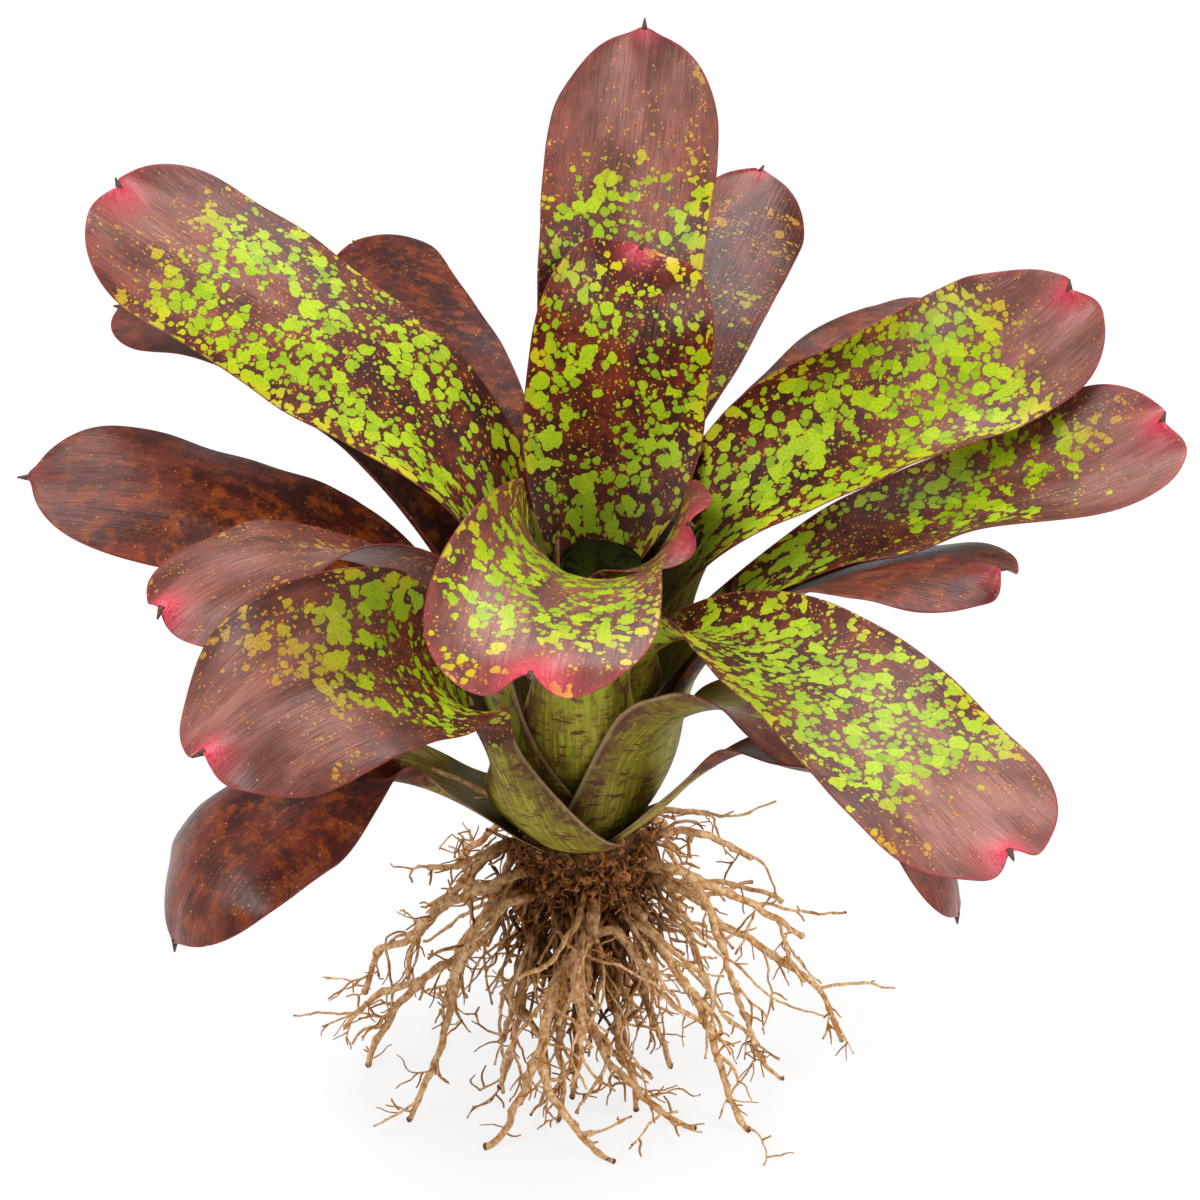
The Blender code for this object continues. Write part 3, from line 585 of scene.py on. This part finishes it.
def wave_margins(sheet, across, rows, width, rng):
    """The slow unevenness of a living blade: gentle waves at its margins and shallow dents."""
    up = upper_normals(sheet)
    along = rows[:, None]
    free = ease(0.34, 0.6, along)
    waves = np.zeros(sheet.shape[:2])
    for side in (-1, 1):
        at_side = ease(0.45, 1.0, side * across)[None, :]
        for count, size in ((rng.uniform(3, 5), 0.7), (rng.uniform(7, 10), 0.28)):
            waves = waves + at_side * size * np.sin(2 * math.pi * (count * along + rng.random()))
    dent = 0.35 * np.sin(2 * math.pi * (rng.uniform(1.5, 3) * along + 0.4 * across[None, :] + rng.random()))
    keel = -0.5 * np.exp(-((across[None, :] / 0.07) ** 2)) * ease(0.3, 0.5, along)
    return sheet + up * ((waves + dent + keel) * free * MM)[..., None]


def leaf_marks(leaf, sheet, rows, across, width):
    """Per-point values that the finish reads."""
    along = np.broadcast_to(rows[:, None], sheet.shape[:2])
    side = np.broadcast_to(across[None, :], sheet.shape[:2])
    to_side = (1 - np.abs(side)) * width[:, None] / MM
    end_gap = np.linalg.norm(sheet - sheet[-1, sheet.shape[1] // 2], axis=-1) / MM
    edge = np.minimum(to_side, end_gap + 0.05)
    size = min(1.0, leaf.half_width / 26)
    reach = {"point": 6.0, "pinch": 8.0, "notch": 12.0}[leaf.tip] * size
    glow = np.exp(-((end_gap / reach) ** 2))
    rim_glow = np.exp(-((end_gap / (reach * 3.2)) ** 2)) * np.exp(-((to_side / 2.2) ** 2))
    glow = np.maximum(glow * (0.55 if leaf.tip == "point" else 0.95), rim_glow * 0.5)
    if leaf.spots[0] == 0:
        glow = glow * 0.4
    elif leaf.name == "leaf_cup_back":
        glow = glow ** 1.8
    density, lean = leaf.spots
    bare = 0.3 if leaf.name.startswith("leaf_cup") else 1.0
    band = ease(0.10, 0.30, along) * (1 - bare * ease(0.80, 1.0, along))
    spots = density * band + lean * side * ease(0.2, 0.5, along) - 0.12 * ease(0.80, 1.0, np.abs(side))
    sheath = 1 - ease(*SHEATH_ENDS.get(leaf.name, (0.22, 0.42)), along)
    # Painted sheen towards the tip, fading towards the margins.
    bloom = ease(0.50, 0.96, along) * SHEEN.get(leaf.name, 0.6) * (1 - 0.5 * np.abs(side) ** 2)
    faded = ease(*FADES.get(leaf.name, (0.82, 0.96)), along)
    spots = spots - 0.20 * faded
    # Painted shade for the cup's throat: strongest near the axis and low in the cup.
    height = sheet[..., 2]
    from_axis = np.hypot(sheet[..., 0] - 0.004, sheet[..., 1] + 0.004)
    throat_shade = (1 - ease(0.026, 0.066, from_axis)) * (1 - ease(0.205, 0.285, height))
    return {"along": along, "edge_mm": edge, "tip_glow": glow, "spots": spots, "sheath": sheath, "throat_shade": throat_shade,
            "bloom": bloom, "faded": faded}


def grid_piece(name, rows, columns):
    """A flat grid with one vertex for each point of a sheet."""
    bpy.ops.mesh.primitive_grid_add(x_subdivisions=columns - 1, y_subdivisions=rows - 1, size=1)
    piece = bpy.context.object
    piece.name = name
    piece.data.name = name
    return piece


def add_leaf(leaf, index, finish, spine_finish):
    rng = random.Random(40 + index)
    inwardness = index / (len(LEAVES) - 1)
    coarse_rows = row_places(leaf, ROWS, COARSE_TIP_ANGLES)
    coarse_across = np.linspace(-1, 1, COLUMNS)
    coarse, _ = leaf_sheet(leaf, inwardness, coarse_rows, coarse_across)
    pressed = pressed_outwards(coarse, inner_trees)
    inner_trees.append(sheet_tree(pressed))

    rows = row_places(leaf, FINE_ROWS, FINE_TIP_ANGLES)
    across = np.linspace(-1, 1, FINE_COLUMNS)
    across = np.sign(across) * (1 - (1 - np.abs(across)) ** 1.25)
    sheet, width = leaf_sheet(leaf, inwardness, rows, across)
    sheet = sheet + spread_shift(pressed - coarse, coarse_rows, rows, coarse_across, across)
    sheet = wave_margins(sheet, across, rows, width, rng)
    sheet = shape_tip(leaf, sheet, rows, across, width)
    marks = leaf_marks(leaf, sheet, rows, across, width)

    piece = grid_piece(leaf.name + "_skin", FINE_ROWS, FINE_COLUMNS)
    data = piece.data
    points = sheet + np.array(AXIS)
    data.vertices.foreach_set("co", points.reshape(-1).astype(np.float32))
    lateral = across[None, :] * width[:, None] / MM
    lengthwise = np.broadcast_to(rows[:, None] * leaf.length, lateral.shape)
    stretch = 1.0 + 2.4 * (1 - ease(0.15, 0.55, rows)) + 0.15
    drawn = np.concatenate([[0], np.cumsum(np.diff(rows) / ((stretch[1:] + stretch[:-1]) / 2))]) * leaf.length * 1.15
    squeezed = lateral * (1 + 0.5 * (1 - ease(0.15, 0.55, rows)))[:, None]
    offset = (rng.uniform(0, 900), rng.uniform(0, 900))
    maps = {
        "leaf_mm": (lateral + offset[0], lengthwise + offset[1]),
        "spots_mm": (squeezed + offset[1], np.broadcast_to(drawn[:, None], lateral.shape) + offset[0]),
    }
    corner_points = np.zeros(len(data.loops), np.int32)
    data.loops.foreach_get("vertex_index", corner_points)
    while data.uv_layers:
        data.uv_layers.remove(data.uv_layers[0])
    for map_name, (u, v) in maps.items():
        layer = data.uv_layers.new(name=map_name)
        pairs = np.stack([u.reshape(-1), v.reshape(-1)], -1)[corner_points]
        layer.data.foreach_set("uv", pairs.reshape(-1).astype(np.float32))
    for mark, values in marks.items():
        attribute = data.attributes.new(mark, "FLOAT", "POINT")
        attribute.data.foreach_set("value", values.reshape(-1).astype(np.float32))
    thickness = SHEATH_THICKNESS + (BLADE_THICKNESS - SHEATH_THICKNESS) * ease(0.2, 0.6, rows)[:, None]
    thickness = thickness * (1 - 0.5 * ease(0.8, 1, rows)[:, None]) * (1 - 0.5 * across[None, :] ** 2)
    group = piece.vertex_groups.new(name="thickness")
    for vertex, value in enumerate((thickness / BLADE_THICKNESS).reshape(-1)):
        group.add([vertex], float(value), "REPLACE")

    skin = piece.modifiers.new("skin", "SOLIDIFY")
    skin.thickness = BLADE_THICKNESS
    skin.offset = 0
    skin.vertex_group = "thickness"
    skin.use_even_offset = False
    bpy.ops.object.modifier_apply(modifier="skin")
    count = FINE_ROWS * FINE_COLUMNS
    under = data.attributes.new("under", "FLOAT", "POINT")
    sides = np.zeros(len(data.vertices), np.float32)
    sides[:count] = 1.0
    under.data.foreach_set("value", sides)
    bpy.ops.object.mode_set(mode="EDIT")
    bpy.ops.mesh.select_all(action="SELECT")
    bpy.ops.mesh.normals_make_consistent(inside=False)
    bpy.ops.object.mode_set(mode="OBJECT")
    round_off = piece.modifiers.new("round", "SUBSURF")
    round_off.levels = round_off.render_levels = 1
    bpy.ops.object.modifier_apply(modifier="round")
    bpy.ops.object.shade_smooth()
    data.materials.append(finish)

    end = Vector(points[-1, FINE_COLUMNS // 2])
    before = Vector(points[-6, FINE_COLUMNS // 2])
    add_end_spine(piece, end, (end - before).normalized(), min(1.0, leaf.half_width / 26), spine_finish)
    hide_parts(leaf.name)
    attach(piece, "root")
    return piece


def add_end_spine(piece, end, way, size, finish):
    """The small dry spine at the end of a leaf, a cone joined to its leaf."""
    length = 0.0046 * size
    bpy.ops.mesh.primitive_cone_add(vertices=10, radius1=0.0013 * size, radius2=0.0003 * size, depth=length)
    spine = bpy.context.object
    turn = way.to_track_quat("Z", "Y").to_matrix().to_4x4()
    spine.data.transform(Matrix.Translation(end + way * (length * 0.3)) @ turn)
    spine.data.materials.append(finish)
    bpy.ops.object.shade_smooth()
    bpy.ops.object.select_all(action="DESELECT")
    spine.select_set(True)
    piece.select_set(True)
    bpy.context.view_layer.objects.active = piece
    bpy.ops.object.join()
    bpy.ops.object.select_all(action="DESELECT")


# ---- Roots ----
Root = namedtuple("Root", "name bends width branches")

ROOTS = (
    Root("root_left_arch", [(-23, -17, 101), (-40, -7, 85), (-53, -2, 74), (-64, 2, 58), (-75, 6, 50), (-82, 10, 28)],
         (4.4, 2.2), ()),
    Root("root_front", [(5, -29, 93), (4, -32, 84), (-4, -34, 74), (-9, -36, 65), (-13, -40, 50), (-15, -41, 38),
         (-22, -44, 22), (-27, -47, 9), (-35, -49, 0)], (5.0, 2.4),
         ([(4, -32, 85), (12, -28, 83), (20, -29, 73), (24, -29, 63), (33, -31, 53), (44, -31, 45)],
          [(-15, -41, 38), (-12, -44, 25), (-4, -49, 12), (4, -53, 5), (12, -57, 0)])),
    Root("root_right_arch", [(26, -15, 102), (39, -10, 96), (51, -7, 87), (69, -3, 73), (82, 0, 61)], (4.2, 2.0),
         ([(39, -10, 96), (47, -14, 83), (52, -15, 66), (57, -13, 47), (64, -10, 21), (68, -8, 9), (76, -8, 0)],)),
    Root("root_right", [(30, -6, 90), (44, -4, 79), (50, -4, 71), (67, -3, 58), (82, -4, 46), (90, -4, 37),
         (98, -4, 16)], (4.0, 1.8), ()),
    Root("root_front_right", [(21, -21, 85), (26, -19, 74), (39, -24, 55), (47, -28, 40), (52, -31, 25),
         (57, -36, 8), (62, -39, 0)], (4.2, 2.2), ()),
    Root("root_front_low", [(2, -21, 76), (1, -21, 60), (2, -22, 45), (9, -26, 26), (19, -30, 15), (29, -34, 7),
         (42, -38, 0)], (4.0, 2.0), ()),
    Root("root_left", [(-26, -11, 86), (-35, -11, 70), (-46, -8, 57), (-60, -6, 45), (-71, -4, 27), (-79, -2, 10),
         (-81, 0, 0)], (4.2, 2.2), ([(-60, -6, 45), (-70, -4, 40), (-78, -2, 34), (-89, 0, 19)],)),
    Root("root_front_left", [(-21, -21, 93), (-32, -22, 88), (-38, -23, 80), (-45, -24, 65), (-48, -26, 46),
         (-53, -29, 28), (-59, -31, 13), (-64, -33, 0)], (4.0, 2.0), ()),
    Root("root_left_short", [(-29, -6, 104), (-36, -4, 98), (-46, 3, 90), (-56, 7, 87)], (3.4, 2.0), ()),
    Root("root_right_high", [(30, 3, 104), (44, 9, 101), (63, 15, 86)], (3.6, 2.0), ()),
    Root("root_right_short", [(27, 14, 106), (36, 18, 105), (47, 22, 101)], (3.2, 1.8), ()),
)

FanRoot = namedtuple("FanRoot", "heading start reach bow end_height")

BACK_ROOTS = (
    FanRoot(40, 96, 62, 12, 0),
    FanRoot(58, 103, 74, 18, 34),
    FanRoot(76, 94, 48, 9, 0),
    FanRoot(94, 102, 66, 16, 12),
    FanRoot(112, 95, 56, 12, 0),
    FanRoot(130, 104, 72, 17, 40),
    FanRoot(148, 95, 60, 10, 0),
    FanRoot(166, 101, 68, 12, 30),
)
CORE_RINGS = ((3, 7, 70, 11, 20), (7, 19, 78, 24, 34))
CORE_TURN = (20, 50)
BRANCH_SHARE = 0.75


def polar(heading, radius, height):
    angle = math.radians(heading)
    return (radius * math.cos(angle), radius * math.sin(angle), height)


def placed(bends):
    return [Vector(bend) * MM + AXIS for bend in bends]


def smooth_route(points, step):
    ends = [2 * points[0] - points[1]] + points + [2 * points[-1] - points[-2]]
    route = []
    for before, start, end, after in zip(ends, ends[1:], ends[2:], ends[3:]):
        pieces = max(1, round((end - start).length / step))
        for piece in range(pieces):
            t = piece / pieces
            bend = (2 * before - 5 * start + 4 * end - after) * t**2 + (3 * start - before - 3 * end + after) * t**3
            route.append(0.5 * (2 * start + (end - before) * t + bend))
    route.append(points[-1])
    return route


def seat_on(tree, towards):
    hub = AXIS + Vector((0, 0, ROOT_HUB))
    place, outward = tree.ray_cast(towards, (hub - towards).normalized())[:2]
    return place + outward * SEAT_GAP, outward


class Strands:
    """Round strands of one object: each is a row of places with a radius for each place."""

    def __init__(self, name, finish, slot, sides=1):
        self.name = name
        self.finish = finish
        self.slot = slot
        self.sides = sides
        self.strands = []

    def add(self, places, radii):
        self.strands.append((places, radii))

    def build(self, nodes=()):
        bpy.ops.curve.primitive_bezier_curve_add()
        piece = bpy.context.object
        piece.name = self.name
        curve = piece.data
        curve.splines.clear()
        curve.dimensions = "3D"
        curve.bevel_depth = 1.0
        curve.bevel_resolution = self.sides
        curve.use_fill_caps = True
        for places, radii in self.strands:
            spline = curve.splines.new("POLY")
            spline.points.add(len(places) - 1)
            spline.points.foreach_set("co", [value for place in places for value in (*place, 1.0)])
            spline.points.foreach_set("radius", radii)
        bpy.ops.object.convert(target="MESH")
        piece = bpy.context.object
        piece.data.name = self.name
        bpy.ops.object.shade_smooth()
        piece.data.materials.append(self.finish)
        bpy.ops.object.select_all(action="DESELECT")
        if nodes:
            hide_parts(*nodes)
        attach(piece, "root")
        return piece


def uneven(route, size, seed):
    """The route with the small kinks of a real root, held at both ends."""
    out = []
    for index, place in enumerate(route):
        share = index / (len(route) - 1)
        hold = min(1.0, share * 6, (1 - share) * 6)
        kink = noise.noise_vector(place * 95 + Vector((seed, seed * 1.7, 0)))
        kink += 0.5 * noise.noise_vector(place * 260 + Vector((0, seed, seed)))
        out.append(place + kink * (size * hold))
    return out


def knotty(route, start, end, seed, ragged=1.0):
    """Radii that taper from start to end, with the swellings of a real root and a blunt, broken end."""
    radii = []
    for index, place in enumerate(route):
        share = index / (len(route) - 1)
        radius = start + (end - start) * share
        swell = noise.noise(place * 140 + Vector((seed, 0, seed)))
        knot = max(0.0, noise.noise(place * 300 + Vector((0, seed, 0))) - 0.30) * 1.6
        radii.append(max(0.00020, radius * (1 + ragged * (0.16 * swell + knot))))
    radii[-1] *= 1.25
    return radii


def grown(start, way, length, rng, droop, wander, step=0.0022):
    """A side root that grows from start: it wanders, droops and then runs along the floor."""
    place = start.copy()
    way = way.normalized()
    places = [place.copy()]
    for _ in range(max(3, round(length / step))):
        turn = Vector((rng.gauss(0, 1), rng.gauss(0, 1), rng.gauss(0, 1)))
        way = (way + turn * wander + Vector((0, 0, -droop))).normalized()
        if place.z < 0.006 and way.z < -0.2:
            way.z *= 0.3
            way.normalize()
        place = place + way * step
        place.z = max(place.z, 0.0009)
        places.append(place.copy())
    return places


def side_way(route, index, rng, outwards=0.8, down=0.4):
    ahead = (route[min(index + 1, len(route) - 1)] - route[max(index - 1, 0)]).normalized()
    out = Vector((route[index].x - AXIS.x, route[index].y - AXIS.y, 0))
    out = out.normalized() if out.length > 1e-4 else Vector((1, 0, 0))
    turn = Vector((rng.gauss(0, 1), rng.gauss(0, 1), rng.gauss(0, 0.6)))
    return ahead * 0.7 + out * outwards * rng.random() + turn * 0.75 + Vector((0, 0, -down))


def add_roots(finish, fine_finish, end_finish):
    stem_tree = BVHTree.FromObject(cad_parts["stem"], bpy.context.evaluated_depsgraph_get())
    rng = random.Random(7)
    mains = []
    ends = Strands("root_ends", end_finish, "root", 1)

    def cut_end(route, radius):
        """The dark knob where a root was broken off."""
        last, before = route[-1], route[-2]
        way = (last - before).normalized()
        places = [last - way * radius * 0.9, last - way * radius * 0.2, last + way * radius * 0.5, last + way * radius * 0.8]
        ends.add([Vector((p.x, p.y, max(p.z, radius))) for p in places],
                 [radius * 1.02, radius * 1.22, radius * 1.08, radius * 0.55])

    def main_root(name, bends, width, branches=()):
        bends = placed(bends)
        place, outward = seat_on(stem_tree, bends[0])
        route = smooth_route([place - outward * 0.004, place + outward * 0.004] + bends, 0.0018)
        seed = len(mains) * 3.1
        strands = Strands(name + "_bark", finish, "root", 3)
        routes = [(uneven(route, 0.0015, seed), width)]
        for branch in branches:
            slim = (width[0] * BRANCH_SHARE, width[1] * BRANCH_SHARE)
            routes.append((uneven(smooth_route(placed(branch), 0.0018), 0.0013, seed + 1), slim))
        for line, (thick, thin) in routes:
            for spot in line:
                spot.z = max(spot.z, thin / 2 * MM * 1.3)
            radii = knotty(line, thick / 2 * MM, thin / 2 * MM, seed)
            strands.add(line, radii)
            cut_end(line, thin / 2 * MM)
        mains.extend(routes)
        strands.build((name,))

    for root in ROOTS:
        main_root(root.name, root.bends, root.width, root.branches)
    for number, root in enumerate(BACK_ROOTS, 1):
        drop = root.start - root.end_height
        bends = [
            polar(root.heading + 3, 29, root.start - 3),
            polar(root.heading - 4, 0.45 * root.reach + root.bow, root.start - 0.28 * drop),
            polar(root.heading + 3, 0.80 * root.reach + 0.5 * root.bow, root.start - 0.62 * drop),
            polar(root.heading - 2, 0.95 * root.reach + 0.2 * root.bow, root.start - 0.86 * drop),
            polar(root.heading, root.reach, root.end_height),
        ]
        main_root(f"root_back_{number}", bends, (3.8, 1.8))
    for ring, (count, start, height, middle, end) in enumerate(CORE_RINGS, 1):
        for number in range(count):
            heading = CORE_TURN[ring - 1] + 360 * number / count
            bends = [
                polar(heading, start, height),
                polar(heading + 5, 0.55 * start + 0.45 * middle, 0.78 * height),
                polar(heading - 4, middle, 0.42 * height),
                polar(heading + 2, 0.4 * middle + 0.6 * end, 0.18 * height),
                polar(heading, end, 0),
            ]
            main_root(f"root_core_{ring}_{number + 1}", bends, (3.8, 2.0))

    side_roots = Strands("side_roots", finish, "root", 1)
    fine_roots = Strands("fine_roots", fine_finish, "root", 0)
    sides = []

    def add_side(start, way, length, radius, droop, wander, knob=False):
        branch = grown(start, way, length, rng, droop, wander)
        side_roots.add(branch, knotty(branch, radius, radius * 0.6, rng.random() * 50, 1.3))
        if knob:
            cut_end(branch, radius * 0.62)
        sides.append((branch, radius))

    for route, width in mains:
        for _ in range(max(4, round(len(route) * 0.20))):
            index = rng.randrange(5, len(route) - 1)
            share = index / (len(route) - 1)
            thick = (width[0] + (width[1] - width[0]) * share) / 2 * MM
            length = rng.choice((0.004, 0.006, 0.009, 0.014, 0.022, 0.030)) * rng.uniform(0.8, 1.2)
            way = side_way(route, index, rng)
            add_side(route[index], way, length, thick * rng.uniform(0.34, 0.62), 0.05, 0.17, length > 0.005)
    for _ in range(150):
        heading = rng.uniform(0, 2 * math.pi)
        reach = rng.uniform(0.006, 0.0225)
        start = AXIS + Vector((reach * math.cos(heading), reach * math.sin(heading), 0.104 - rng.uniform(0, 0.014)))
        spread = rng.uniform(0.15, 0.75)
        way = Vector((spread * math.cos(heading), spread * math.sin(heading), -1))
        add_side(start, way, rng.uniform(0.035, 0.100), rng.uniform(0.0005, 0.0013), 0.05, 0.15)
    for branch, thick in sides:
        for _ in range(rng.choice((1, 2, 2, 3))):
            index = rng.randrange(2, len(branch))
            way = side_way(branch, index, rng, 0.5, 0.25)
            twig = grown(branch[index], way, rng.uniform(0.003, 0.013), rng, 0.04, 0.25, 0.0018)
            radius = min(rng.uniform(0.00034, 0.00062), thick)
            fine_roots.add(twig, [radius * (1 - 0.45 * i / len(twig)) for i in range(len(twig))])
    poked_out = placed([(-16, -13, 116), (-24, -17, 124), (-31, -20, 136), (-44, -18, 142), (-58, -17, 148)])
    stray = uneven(smooth_route(poked_out, 0.0018), 0.0014, 5.0)
    side_roots.add(stray, knotty(stray, 0.0015, 0.0008, 3.0, 1.3))
    for index in (9, 15):
        add_side(stray[index], Vector((rng.uniform(-1, 0), -0.4, rng.uniform(-1, 1))), 0.006, 0.0005, 0.0, 0.2)
    side_roots.build()
    fine_roots.build()
    ends.build()


def add_crown(finish, fibre_finish):
    """The stem's rough foot and the dry fibres where the leaves leave it."""
    bpy.ops.mesh.primitive_uv_sphere_add(segments=64, ring_count=40, radius=1.0)
    crown = bpy.context.object
    crown.name = crown.data.name = "stem_crown"
    for vertex in crown.data.vertices:
        place = vertex.co.copy()
        high = place.z > 0
        reach = 0.0212 if not high else 0.0212 * (1 - 0.72 * place.z)
        out = Vector((place.x * reach, place.y * reach, place.z * (0.033 if high else 0.0235)))
        rough = noise.fractal(place * 4.5, 0.9, 2.1, 4) * 0.0016
        vertex.co = AXIS + Vector((0, 0, CROWN_HEIGHT)) + out + place * rough
    bpy.ops.object.shade_smooth()
    crown.data.materials.append(finish)
    bpy.ops.object.select_all(action="DESELECT")
    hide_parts("stem")
    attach(crown, "root")

    rng = random.Random(19)
    fibres = Strands("crown_fibres", fibre_finish, "stem", 0)
    for _ in range(620):
        heading = rng.uniform(0, 2 * math.pi)
        height = rng.uniform(0.090, 0.113)
        reach = rng.uniform(0.0190, 0.0240)
        start = AXIS + Vector((reach * math.cos(heading), reach * math.sin(heading), height))
        way = Vector((math.cos(heading), math.sin(heading), rng.uniform(-1.6, 0.7)))
        fibre = grown(start, way, rng.uniform(0.003, 0.011), rng, 0.05, 0.6, 0.0012)
        radius = rng.uniform(0.00018, 0.00050)
        fibres.add(fibre, [radius * (1 - 0.4 * i / len(fibre)) for i in range(len(fibre))])
    fibres.build()

    crumbs = []
    for _ in range(420):
        heading = rng.uniform(0, 2 * math.pi)
        height = rng.triangular(0.084, 0.114, 0.109)
        reach = rng.uniform(0.0190, 0.0262) - max(0.0, 0.098 - height) * 0.35
        size = rng.uniform(0.0006, 0.0019)
        place = AXIS + Vector((reach * math.cos(heading), reach * math.sin(heading), height))
        bpy.ops.mesh.primitive_ico_sphere_add(subdivisions=1, radius=size)
        crumb = bpy.context.object
        for vertex in crumb.data.vertices:
            vertex.co = place + vertex.co * rng.uniform(0.6, 1.35)
        crumbs.append(crumb)
    for crumb in crumbs:
        crumb.select_set(True)
    bpy.context.view_layer.objects.active = crumbs[0]
    bpy.ops.object.join()
    litter = bpy.context.object
    litter.name = litter.data.name = "crown_crumbs"
    litter.data.materials.append(fibre_finish)
    bpy.ops.object.select_all(action="DESELECT")
    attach(litter, "root")


def add_water(finish):
    """Rain water standing in the cup, cut to the leaves round it, with its rim drawn up where it meets them."""
    centre = Vector((0.004, -0.002, 0.2195))
    profile = ((0.0, 0.0), (0.55, 0.0), (0.86, 0.0), (0.95, 0.0002), (1.0, 0.0011), (1.0, -0.003), (0.0, -0.006))
    bpy.ops.mesh.primitive_grid_add(x_subdivisions=len(profile) - 1, y_subdivisions=96, size=1)
    water = bpy.context.object
    water.name = water.data.name = "cup_water"
    reaches = []
    for step in range(96):
        angle = 2 * math.pi * step / 96
        way = Vector((math.cos(angle), math.sin(angle), 0))
        hits = [tree.ray_cast(centre, way, 0.045)[3] for tree in inner_trees]
        reaches.append(min([hit for hit in hits if hit is not None] + [0.018]) - 0.0003)
    for _ in range(30):
        reaches = [min(own, (reaches[i - 1] + reaches[(i + 1) % 96]) / 2 + 0.0001) for i, own in enumerate(reaches)]
    for index, vertex in enumerate(water.data.vertices):
        step, ring = divmod(index, len(profile))
        angle = 2 * math.pi * (step % 96) / 96
        share, height = profile[ring]
        flat = Vector((math.cos(angle), math.sin(angle), 0)) * (reaches[step % 96] * share)
        vertex.co = AXIS + centre + flat + Vector((0, 0, height))
    bpy.ops.object.mode_set(mode="EDIT")
    bpy.ops.mesh.select_all(action="SELECT")
    bpy.ops.mesh.remove_doubles(threshold=0.00001)
    bpy.ops.mesh.normals_make_consistent(inside=False)
    bpy.ops.object.mode_set(mode="OBJECT")
    bpy.ops.object.shade_smooth()
    water.data.materials.append(finish)
    bpy.ops.object.select_all(action="DESELECT")
    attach(water, "root")


# ---- Stage ----
def add_stage():
    bpy.ops.mesh.primitive_plane_add(size=60.0, location=(0, 0, 0))
    floor = bpy.context.object
    floor.name = "floor"
    net = Net("pale_floor")
    tree = net.material.node_tree
    net.shader.inputs["Base Color"].default_value = (0.9, 0.9, 0.9, 1)
    net.shader.inputs["Roughness"].default_value = 0.9
    glow = net.nodes.new("ShaderNodeEmission")
    glow.inputs["Color"].default_value = (1, 1, 1, 1)
    rays = net.nodes.new("ShaderNodeLightPath")
    seen = net.math("MAXIMUM", rays.outputs["Is Camera Ray"], rays.outputs["Is Transmission Ray"])
    blend = net.nodes.new("ShaderNodeMixShader")
    net.put(blend.inputs[0], net.math("MULTIPLY", seen, FLOOR_GLOW))
    tree.links.new(net.shader.outputs[0], blend.inputs[1])
    tree.links.new(glow.outputs[0], blend.inputs[2])
    tree.links.new(blend.outputs[0], net.nodes["Material Output"].inputs[0])
    floor.data.materials.append(net.material)
    bpy.ops.object.select_all(action="DESELECT")

    world = bpy.data.worlds.new("studio")
    bpy.context.scene.world = world
    world.use_nodes = True
    nodes = world.node_tree.nodes
    links = world.node_tree.links
    back = nodes["Background"]
    rays = nodes.new("ShaderNodeLightPath")
    seen = nodes.new("ShaderNodeMath")
    seen.operation = "MAXIMUM"
    links.new(rays.outputs["Is Camera Ray"], seen.inputs[0])
    links.new(rays.outputs["Is Transmission Ray"], seen.inputs[1])
    strength = nodes.new("ShaderNodeMapRange")
    strength.inputs["To Min"].default_value = WORLD_LIGHT
    strength.inputs["To Max"].default_value = 1.0
    links.new(seen.outputs[0], strength.inputs[0])
    links.new(strength.outputs[0], back.inputs["Strength"])
    back.inputs["Color"].default_value = (1, 1, 1, 1)


def add_lamp(name, place, target, size, power):
    bpy.ops.object.light_add(type="AREA", location=place)
    lamp = bpy.context.object
    lamp.name = name
    lamp.data.shape = "RECTANGLE"
    lamp.data.size, lamp.data.size_y = size
    lamp.data.energy = power
    lamp.rotation_mode = "QUATERNION"
    lamp.rotation_quaternion = (Vector(place) - Vector(target)).to_track_quat("Z", "Y")
    bpy.ops.object.select_all(action="DESELECT")


def add_camera():
    elevation = math.radians(30)
    target = AXIS + Vector((0.007, 0, 0.205))
    place = target + Vector((0, -math.cos(elevation), math.sin(elevation))) * 1.2
    bpy.ops.object.camera_add(location=place)
    camera = bpy.context.object
    camera.rotation_mode = "QUATERNION"
    camera.rotation_quaternion = (place - target).to_track_quat("Z", "Y")
    camera.data.sensor_width = 36
    camera.data.lens = 36 / (0.420 / 1.2)
    bpy.context.scene.camera = camera


WORLD_LIGHT = 0.31
FLOOR_GLOW = 0.80

spotted_finish = leaf_finish("spotted_leaf", True)
plain_leaf_finish = leaf_finish("plain_leaf", False)
spine_finish = plain_finish("dry_spine", shade(58, 34, 24), shade(96, 60, 36), 900.0, 0.6)
# The last colour of each root finish is the painted shade of the tangle's core.
bark_finish = root_finish("root_bark", shade(246, 208, 158), shade(190, 128, 66), shade(56, 28, 8))
fine_finish = root_finish("root_fine", shade(214, 158, 92), shade(164, 104, 44), shade(100, 56, 18))
end_finish = plain_finish("broken_ends", shade(70, 42, 20), shade(120, 80, 42), 900.0, 0.8)
crown_finish = plain_finish("dry_crown", shade(58, 32, 12), shade(110, 66, 26), 420.0, 0.85)
fibre_finish = plain_finish("dry_fibres", shade(98, 54, 14), shade(186, 122, 58), 260.0, 0.85)

inner_trees = []
for index in range(len(LEAVES) - 1, -1, -1):
    leaf = LEAVES[index]
    add_leaf(leaf, index, spotted_finish if leaf.spots[0] > 0 else plain_leaf_finish, spine_finish)
add_roots(bark_finish, fine_finish, end_finish)
add_crown(crown_finish, fibre_finish)
add_water(water_finish())

add_stage()
add_lamp("key", (-0.9, -0.7, 1.5), (0, 0, 0.2), (0.9, 0.9), 25)
add_lamp("right_fill", (1.1, -0.5, 1.0), (0, 0, 0.2), (0.8, 1.1), 14)
add_lamp("top_back", (0.1, 0.9, 1.5), (0, 0, 0.2), (1.2, 0.6), 17)
add_camera()
bpy.context.scene.view_settings.view_transform = "Standard"
